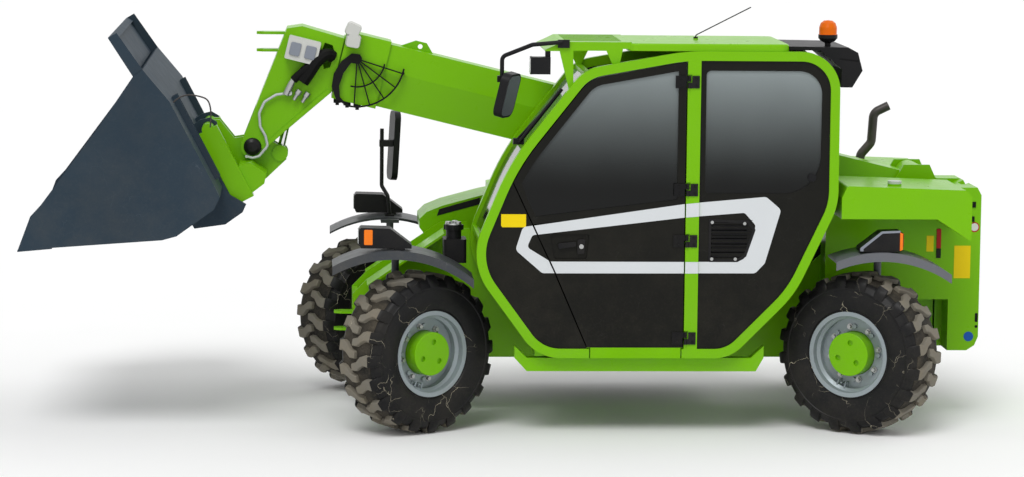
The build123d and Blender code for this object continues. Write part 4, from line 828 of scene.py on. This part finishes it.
class HANDLER_OT_cab_fittings(bpy.types.Operator):
    """The windscreen's wiper, the work light's lens and the glass of the mirrors"""
    bl_idname = "handler.cab_fittings"
    bl_label = "Cab fittings"

    def execute(self, context):
        made("wiper", "plastic", "chassis", "black_paint",
             (rod, mm(-270, 790, 1788), mm(-51, 790, 1510), 0.010, 8),
             (rod, mm(-160, 778, 1652), mm(-40, 770, 1522), 0.006, 8),
             (block, (-78, 744, 1500), (-22, 790, 1530)))
        made("work_light_lens", "clear", "chassis", "lamp_plastic",
             (block, (-103, 806, 1876), (-98, 874, 1948)), bevel=0.002)
        for name, middle, turn, lean, wide, high, back in MIRRORS:
            pane = ((-wide / 2, -high / 2), (wide / 2, -high / 2), (wide / 2, high / 2), (-wide / 2, high / 2))
            made(f"mirror_glass_{name}", "mirror", "chassis", "smoked_glass",
                 (prism, rounded(pane, 44), back, back + 3, mirror_plane(middle, turn, lean)))
        return {"FINISHED"}


# ---- boom and bucket ----
class HANDLER_OT_boom_fittings(bpy.types.Operator):
    """Socket lids, hose sleeves, couplers and studs of the boom"""
    bl_idname = "handler.boom_fittings"
    bl_label = "Boom fittings"

    def execute(self, context):
        made("socket_lids", "grey", "boom_extension", "black_paint",
             *((prism, rounded(((u - 28, -160), (u + 28, -160), (u + 28, -90), (u - 28, -90)), 10), 199, 189, boom_mm)
               for u in (3312, 3394)), bevel=0.003)
        # sleeves of the hoses, out of the opening in the head's side
        thick = (905, 120, 1905), (935, 150, 1925), (990, 168, 1880), (1025, 165, 1820), (1060, 160, 1770)
        thin = (965, 150, 1900), (1010, 172, 1870), (1075, 165, 1812), (1108, 158, 1780)
        made("hose_sleeve", "rubber", "boom_extension", "hose_rubber",
             (hose_mesh, [mm(*place) for place in thick], 0.034), (hose_mesh, [mm(*place) for place in thin], 0.022))
        couplers = []
        for x, z in ((1108, 1780), (1075, 1725), (1030, 1712)):
            collar = mm(x + 14, 152, z - 22)
            couplers += [(rod, mm(x, 152, z), collar, 0.016, 20),
                         (rod, collar, mm(x + 32, 152, z - 52), 0.011, 20, 0.85)]
        made("couplers", "zinc", "boom_extension", "rod_chrome", *couplers,
             (rod, mm(1118, 150, 1765), mm(1150, 150, 1700), 0.018, 20), bevel=0.001)
        studs = []
        for x, z in ((876, 1668), (824, 1655), (770, 1643)):
            studs += [(rod, mm(x, 80, z + 14), mm(x, 80, z - 14), 0.020, 20),
                      (rod, mm(x, 80, z - 14), mm(x, 80, z - 26), 0.011, 6)]
        made("collar_studs", "plastic", "boom_base", "black_paint", *studs, bevel=0.001)
        return {"FINISHED"}


class HANDLER_OT_bucket_fittings(bpy.types.Operator):
    """Wire handle, worn cutting edge and bolts of the bucket"""
    bl_idname = "handler.bucket_fittings"
    bl_label = "Bucket fittings"

    def execute(self, context):
        wire = (1716, 1716), (1668, 1762), (1560, 1745), (1532, 1720), (1522, 1655), (1528, 1590)
        made("wire_handle", "exhaust", "tool_carriage", "bucket_paint",
             (hose_mesh, [mm(x, 905, z) for x, z in wire], 0.004))
        made("cutting_edge_face", "worn", "tool_carriage", "bucket_paint",
             (prism, ((2500, 956.5), (2336, 985), (2336, 990), (2500, 961)), 928, -928), bevel=0.001)
        bolts("guard_bolts", [(mm(1975, y, 1941), (-0.84, 0, 0.54)) for y in (-560, -280, 280, 560)],
              "tool_carriage", 0.010, 0.008, "zinc", "bucket_paint")
        return {"FINISHED"}


# ---- body and interior ----
TAIL_SKIN = 334.5                    # millimetres from the middle plane to just under the tail's left side
TANK_CAP = mm(270, 540, 1056)
# the trim over a rear lamp, seen from the side
LAMP_TRIM = ((-1815, 966), (-1815, 982), (-1925, 1069), (-2022, 1073), (-2022, 1062), (-1930, 1058), (-1832, 978),
             (-1832, 966))


def both_sides(outline, near, far):
    """The forms of a plate on the left side and of its mirror image on the right."""
    return (prism, outline, near, far), (prism, outline, -far, -near)


class HANDLER_OT_body_fittings(bpy.types.Operator):
    """Lamps, plates, markers, rubber stops, cover strip and the tank's cap"""
    bl_idname = "handler.body_fittings"
    bl_label = "Body fittings"

    def execute(self, context):
        made("side_lamps", "amber", "chassis", "amber_lens",
             *both_sides(rounded(((700, 990), (744, 990), (744, 1068), (700, 1068)), 6), 907, 899), bevel=0.002)
        for name, look, x, z in (("head_lamps", "clear", 770, 1029), ("tail_lamps", "red", -2044, 1019)):
            made(name, look, "chassis", "lamp_plastic",
                 *((block, (x, y - 48, z - 36), (x + 5, y + 48, z + 36)) for y in (835, -835)), bevel=0.003)
        # blank plates, marker strips and discs on the rear body's left side
        made("rear_plates", "yellow", "chassis", "lime_paint",
             (prism, ((-2262, 897), (-2300, 897), (-2300, 982), (-2262, 982)), 336.6, TAIL_SKIN),
             (prism, ((-2412, 754), (-2500, 754), (-2500, 929), (-2412, 929)), 336.6, TAIL_SKIN))
        for look, low, high in (("red", 915, 1020), ("black", 862, 914)):
            made(f"marker_{look}", look, "chassis", "lime_paint",
                 (prism, ((-2315, low), (-2340, low), (-2340, high), (-2315, high)), 339, TAIL_SKIN), bevel=0.001)
        for look, x, z, near, far, radius in (
            ("blue", -2500, 440, TAIL_SKIN, 336.4, 0.026), ("red", -2518, 1029, TAIL_SKIN, 336.2, 0.027),
            ("white", -2518, 1029, 336.1, 336.7, 0.021),
        ):
            made(f"disc_{look}", look, "chassis", "lime_paint", (rod, mm(x, near, z), mm(x, far, z), radius, 32))
        # rubber stops on the tail's edge, its slot and its hole
        made("tail_rubber", "rubber", "chassis", "black_paint",
             (block, (-2522, 334, 1134), (-2494, 341, 1164)), (block, (-2516, 334, 1058), (-2490, 342, 1086)),
             (prism, rounded(((-2548, 518), (-2532, 518), (-2532, 566), (-2548, 566)), 7), 336, 334),
             (rod, mm(-2540, 334, 494), mm(-2540, 336, 494), 0.008, 12))
        # the black strip along the engine cover's slope
        made("cover_strip", "plastic", "engine_cover", "black_paint",
             (prism, ((318, 1056), (96, 1120), (96, 1084), (330, 1020)), -197, -200.5))
        # pale trims over the rear lamps and their amber ends
        made("lamp_trims", "grey", "chassis", "lamp_plastic", *both_sides(LAMP_TRIM, 903, 899))
        made("lamp_ends", "amber", "chassis", "amber_lens",
             *both_sides(((-2021, 968), (-2021, 1064), (-2036, 1058), (-2036, 974)), 904, 899))
        # the tank's cap with its three grips
        grips = [TANK_CAP + polar(0.030, 2 * math.pi * k / 3 + 0.3) for k in range(3)]
        made("tank_cap", "zinc", "chassis", "black_paint",
             (rod, TANK_CAP, TANK_CAP + mm(0, 0, 8), 0.042, 32, 0.95),
             *((rod, grip + mm(0, 0, 2), grip + mm(0, 0, 18), 0.016, 20) for grip in grips), bevel=0.002)
        return {"FINISHED"}


class HANDLER_OT_interior(bpy.types.Operator):
    """Seat cushions, dashboard and lever"""
    bl_idname = "handler.interior"
    bl_label = "Interior"

    def execute(self, context):
        for name, low, high, lying in (("seat_cushion", (-975, 335, 645), (-570, 695, 765), True),
                                       ("seat_back", (-1010, 342, 775), (-925, 688, 1330), False)):
            bm = bmesh.new()
            block(bm, low, high)
            bmesh.ops.subdivide_edges(bm, edges=bm.edges, cuts=5, use_grid_fill=True)
            middle, half = (mm(*low) + mm(*high)) / 2, (mm(*high) - mm(*low)) / 2
            for vertex in bm.verts:
                local = vertex.co - middle
                a, b, c = (local[i] / half[i] for i in range(3))
                bulge = 1 - 0.10 * (b * b * (a * a if lying else c * c))
                crown = 0.012 * (1 - a * a) * (1 - b * b) if lying else 0
                vertex.co = middle + Vector((local.x * bulge, local.y * (1 - 0.06 * c * c),
                                             local.z * (0.94 + 0.06 * (1 - b * b)) + crown))
            if not lying:
                bmesh.ops.rotate(bm, verts=bm.verts, cent=mm(-965, 515, 775), matrix=Matrix.Rotation(-0.175, 3, "Y"))
            pad = piece(name, bm, "fabric", "chassis", "seat_cover", smooth=180, replaced=("seat",))
            soft = pad.modifiers.new("Soft form", "SUBSURF")
            soft.levels = soft.render_levels = 2
        made("seat_base", "plastic", "chassis", "seat_cover", (block, (-940, 380, 470), (-600, 650, 645)),
             bevel=0.012, replaced=("seat",))
        board = (-250, 985), (60, 985), (90, 1010), (60, 1060), (-180, 1090), (-262, 1050)
        made("dashboard", "plastic", "chassis", "black_paint", (prism, board, 800, 262), bevel=0.01)
        knob = (0, -0.035), (0.02, -0.03), (0.026, 0), (0.022, 0.03), (0, 0.04)
        made("control_console", "plastic", "chassis", "black_paint",
             (rod, mm(-640, 745, 640), mm(-610, 745, 960), 0.010, 12),
             (dome, knob, Matrix.Translation(mm(-606, 745, 985))), (block, (-900, 708, 470), (-560, 790, 660)),
             bevel=0.004)
        return {"FINISHED"}


# ---- finishes of the carried-over solids ----
# every solid that is neither plain lime, nor part of a wheel, nor the seat
NODE_FINISH = {
    "lime_boxes": ("side_boxes",),
    "lime_frame": ("cab_frame",),
    "lime_roof": ("cab_roof",),
    "lime_head": ("boom_head",),
    "panel": ("cab_side_panels",),
    "upper_leaf": ("door_upper",),
    "lower_leaf": ("door_lower",),
    "plastic": ("cab_walls", "cab_floor", "roof_rear_housing", "front_tank", "mirrors", "steering_wheel",
                "fender_lamps", "engine_bay"),
    "axle": ("axle_beams", "engine_block", "lift_cylinder", "tilt_cylinder"),
    "fender": ("fenders",),
    "white": ("socket_box",),
    "lamp_white": ("boom_lights",),
    "beacon": ("beacon",),
    "chrome": ("lift_rod", "tilt_rod"),
    "exhaust": ("exhaust_pipe",),
    "slate": ("bucket",),
    "hose": ("lock_hose",),
    "glass": ("door_glass", "cab_windows"),
}


class HANDLER_OT_paint(bpy.types.Operator):
    """Gives every carried-over solid its material"""
    bl_idname = "handler.paint"
    bl_label = "Paint"

    def execute(self, context):
        chosen = {node: name for name, nodes in NODE_FINISH.items() for node in nodes}
        for wheel in WHEELS:
            for end, name in (("rim", "rim"), ("hub", "lime"), ("knuckle", "axle"), ("tyre", "sidewall")):
                chosen[f"{wheel}_{end}"] = name
        for node, thing in frame["nodes"].items():
            if node != "seat":      # the seat's cushions and base take its place
                for item in thing.material_slots:
                    item.material = FINISHES[chosen.get(node, "lime")]
        return {"FINISHED"}


# ---- stage ----
# name, direction, strength and angle across in degrees
LAMPS = (("sun_key", (0.25, 0.75, 1.15), 1.35, 28), ("sun_fill", (-0.8, -0.5, 0.9), 0.45, 60))
CAMERA_PLACE = (1.058, 18.6, 3.112)
CAMERA_TURNS = 0.0605, 0.1171, 0.0104      # yaw, pitch and roll
CAMERA_LENS = 122.41


class HANDLER_OT_stage(bpy.types.Operator):
    """Pale floor, soft light and the camera"""
    bl_idname = "handler.stage"
    bl_label = "Stage"

    def execute(self, context):
        scene = context.scene
        scene.view_settings.view_transform = "Standard"
        bm = bmesh.new()
        bmesh.ops.create_grid(bm, x_segments=1, y_segments=1, size=400.0)
        mesh = bpy.data.meshes.new("floor")
        bm.to_mesh(mesh)
        bm.free()
        floor = bpy.data.objects.new("floor", mesh)
        context.collection.objects.link(floor)
        material, tree, shader = principled("Pale floor")
        shader.inputs["Roughness"].default_value = 0.9
        shader.inputs["Specular IOR Level"].default_value = 0.1
        place = add_node(tree, "ShaderNodeTexCoord").outputs["Object"]
        shade = mix_colour(tree, noise(tree, place, 0.8, 2.0), (0.93, 0.93, 0.93, 1), (0.96, 0.96, 0.96, 1))
        tree.links.new(shade, shader.inputs["Base Color"])
        mesh.materials.append(material)

        # a white sky, dimmer where it only lights
        world = bpy.data.worlds.new("Sky")
        scene.world = world
        world.use_nodes = True
        tree = world.node_tree
        background = tree.nodes["Background"]
        path = add_node(tree, "ShaderNodeLightPath").outputs
        seen = maths(tree, "MAXIMUM", path["Is Camera Ray"], path["Is Glossy Ray"])
        seen = maths(tree, "MAXIMUM", seen, path["Is Transmission Ray"])
        background.inputs["Color"].default_value = (1, 1, 1, 1)
        tree.links.new(ramp(tree, seen, 0.0, 1.0, 0.62, 1.0), background.inputs["Strength"])

        for name, direction, strength, angle in LAMPS:
            lamp = bpy.data.lights.new(name, "SUN")
            lamp.energy = strength
            lamp.angle = math.radians(angle)
            thing = bpy.data.objects.new(name, lamp)
            thing.rotation_euler = Vector(direction).to_track_quat("Z", "Y").to_euler()
            context.collection.objects.link(thing)

        lens = bpy.data.cameras.new("camera")
        lens.lens = CAMERA_LENS
        lens.sensor_width = 36.0
        lens.clip_end = 900.0
        camera = bpy.data.objects.new("camera", lens)
        yaw, pitch, roll = CAMERA_TURNS
        aim = Vector((-math.sin(yaw) * math.cos(pitch), -math.cos(yaw) * math.cos(pitch), -math.sin(pitch)))
        camera.rotation_mode = "QUATERNION"
        camera.rotation_quaternion = aim.to_track_quat("-Z", "Y") @ Quaternion((0, 0, 1), roll)
        camera.location = CAMERA_PLACE
        context.collection.objects.link(camera)
        scene.camera = camera
        return {"FINISHED"}


# ---- add-on ----
class HANDLER_PT_panel(bpy.types.Panel):
    """Lists the steps and the settings"""
    bl_idname = "HANDLER_PT_panel"
    bl_label = "Telescopic Handler"
    bl_space_type = "VIEW_3D"
    bl_region_type = "UI"
    bl_category = "Handler"

    def draw(self, context):
        for operator in OPERATORS:
            self.layout.operator(operator.bl_idname)
        for settings in (context.scene.handler_paint, context.scene.handler_sizes):
            for key in settings.__annotations__:
                self.layout.prop(settings, key)


OPERATORS = (
    HANDLER_OT_stage, HANDLER_OT_paint, HANDLER_OT_tyres, HANDLER_OT_wheel_trim, HANDLER_OT_door_trim,
    HANDLER_OT_vents, HANDLER_OT_cab_fittings, HANDLER_OT_boom_fittings, HANDLER_OT_bucket_fittings,
    HANDLER_OT_body_fittings, HANDLER_OT_interior,
)
CLASSES = (HandlerPaint, HandlerSizes) + OPERATORS + (HANDLER_PT_panel,)


def register():
    for item in CLASSES:
        bpy.utils.register_class(item)
    bpy.types.Scene.handler_paint = bpy.props.PointerProperty(type=HandlerPaint)
    bpy.types.Scene.handler_sizes = bpy.props.PointerProperty(type=HandlerSizes)


def unregister():
    del bpy.types.Scene.handler_paint
    del bpy.types.Scene.handler_sizes
    for item in reversed(CLASSES):
        bpy.utils.unregister_class(item)


def main():
    """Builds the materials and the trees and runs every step."""
    register()
    GROUPS.update(weather=build_weather_group(), marks=build_scratch_group())
    TREES.update(ring=build_ring_tree(), row=build_row_tree(), aimed=build_aimed_tree())
    build_finishes(bpy.context.scene.handler_paint)
    for operator in OPERATORS:
        group, name = operator.bl_idname.split(".")
        getattr(getattr(bpy.ops, group), name)()


if __name__ == "__main__":
    main()
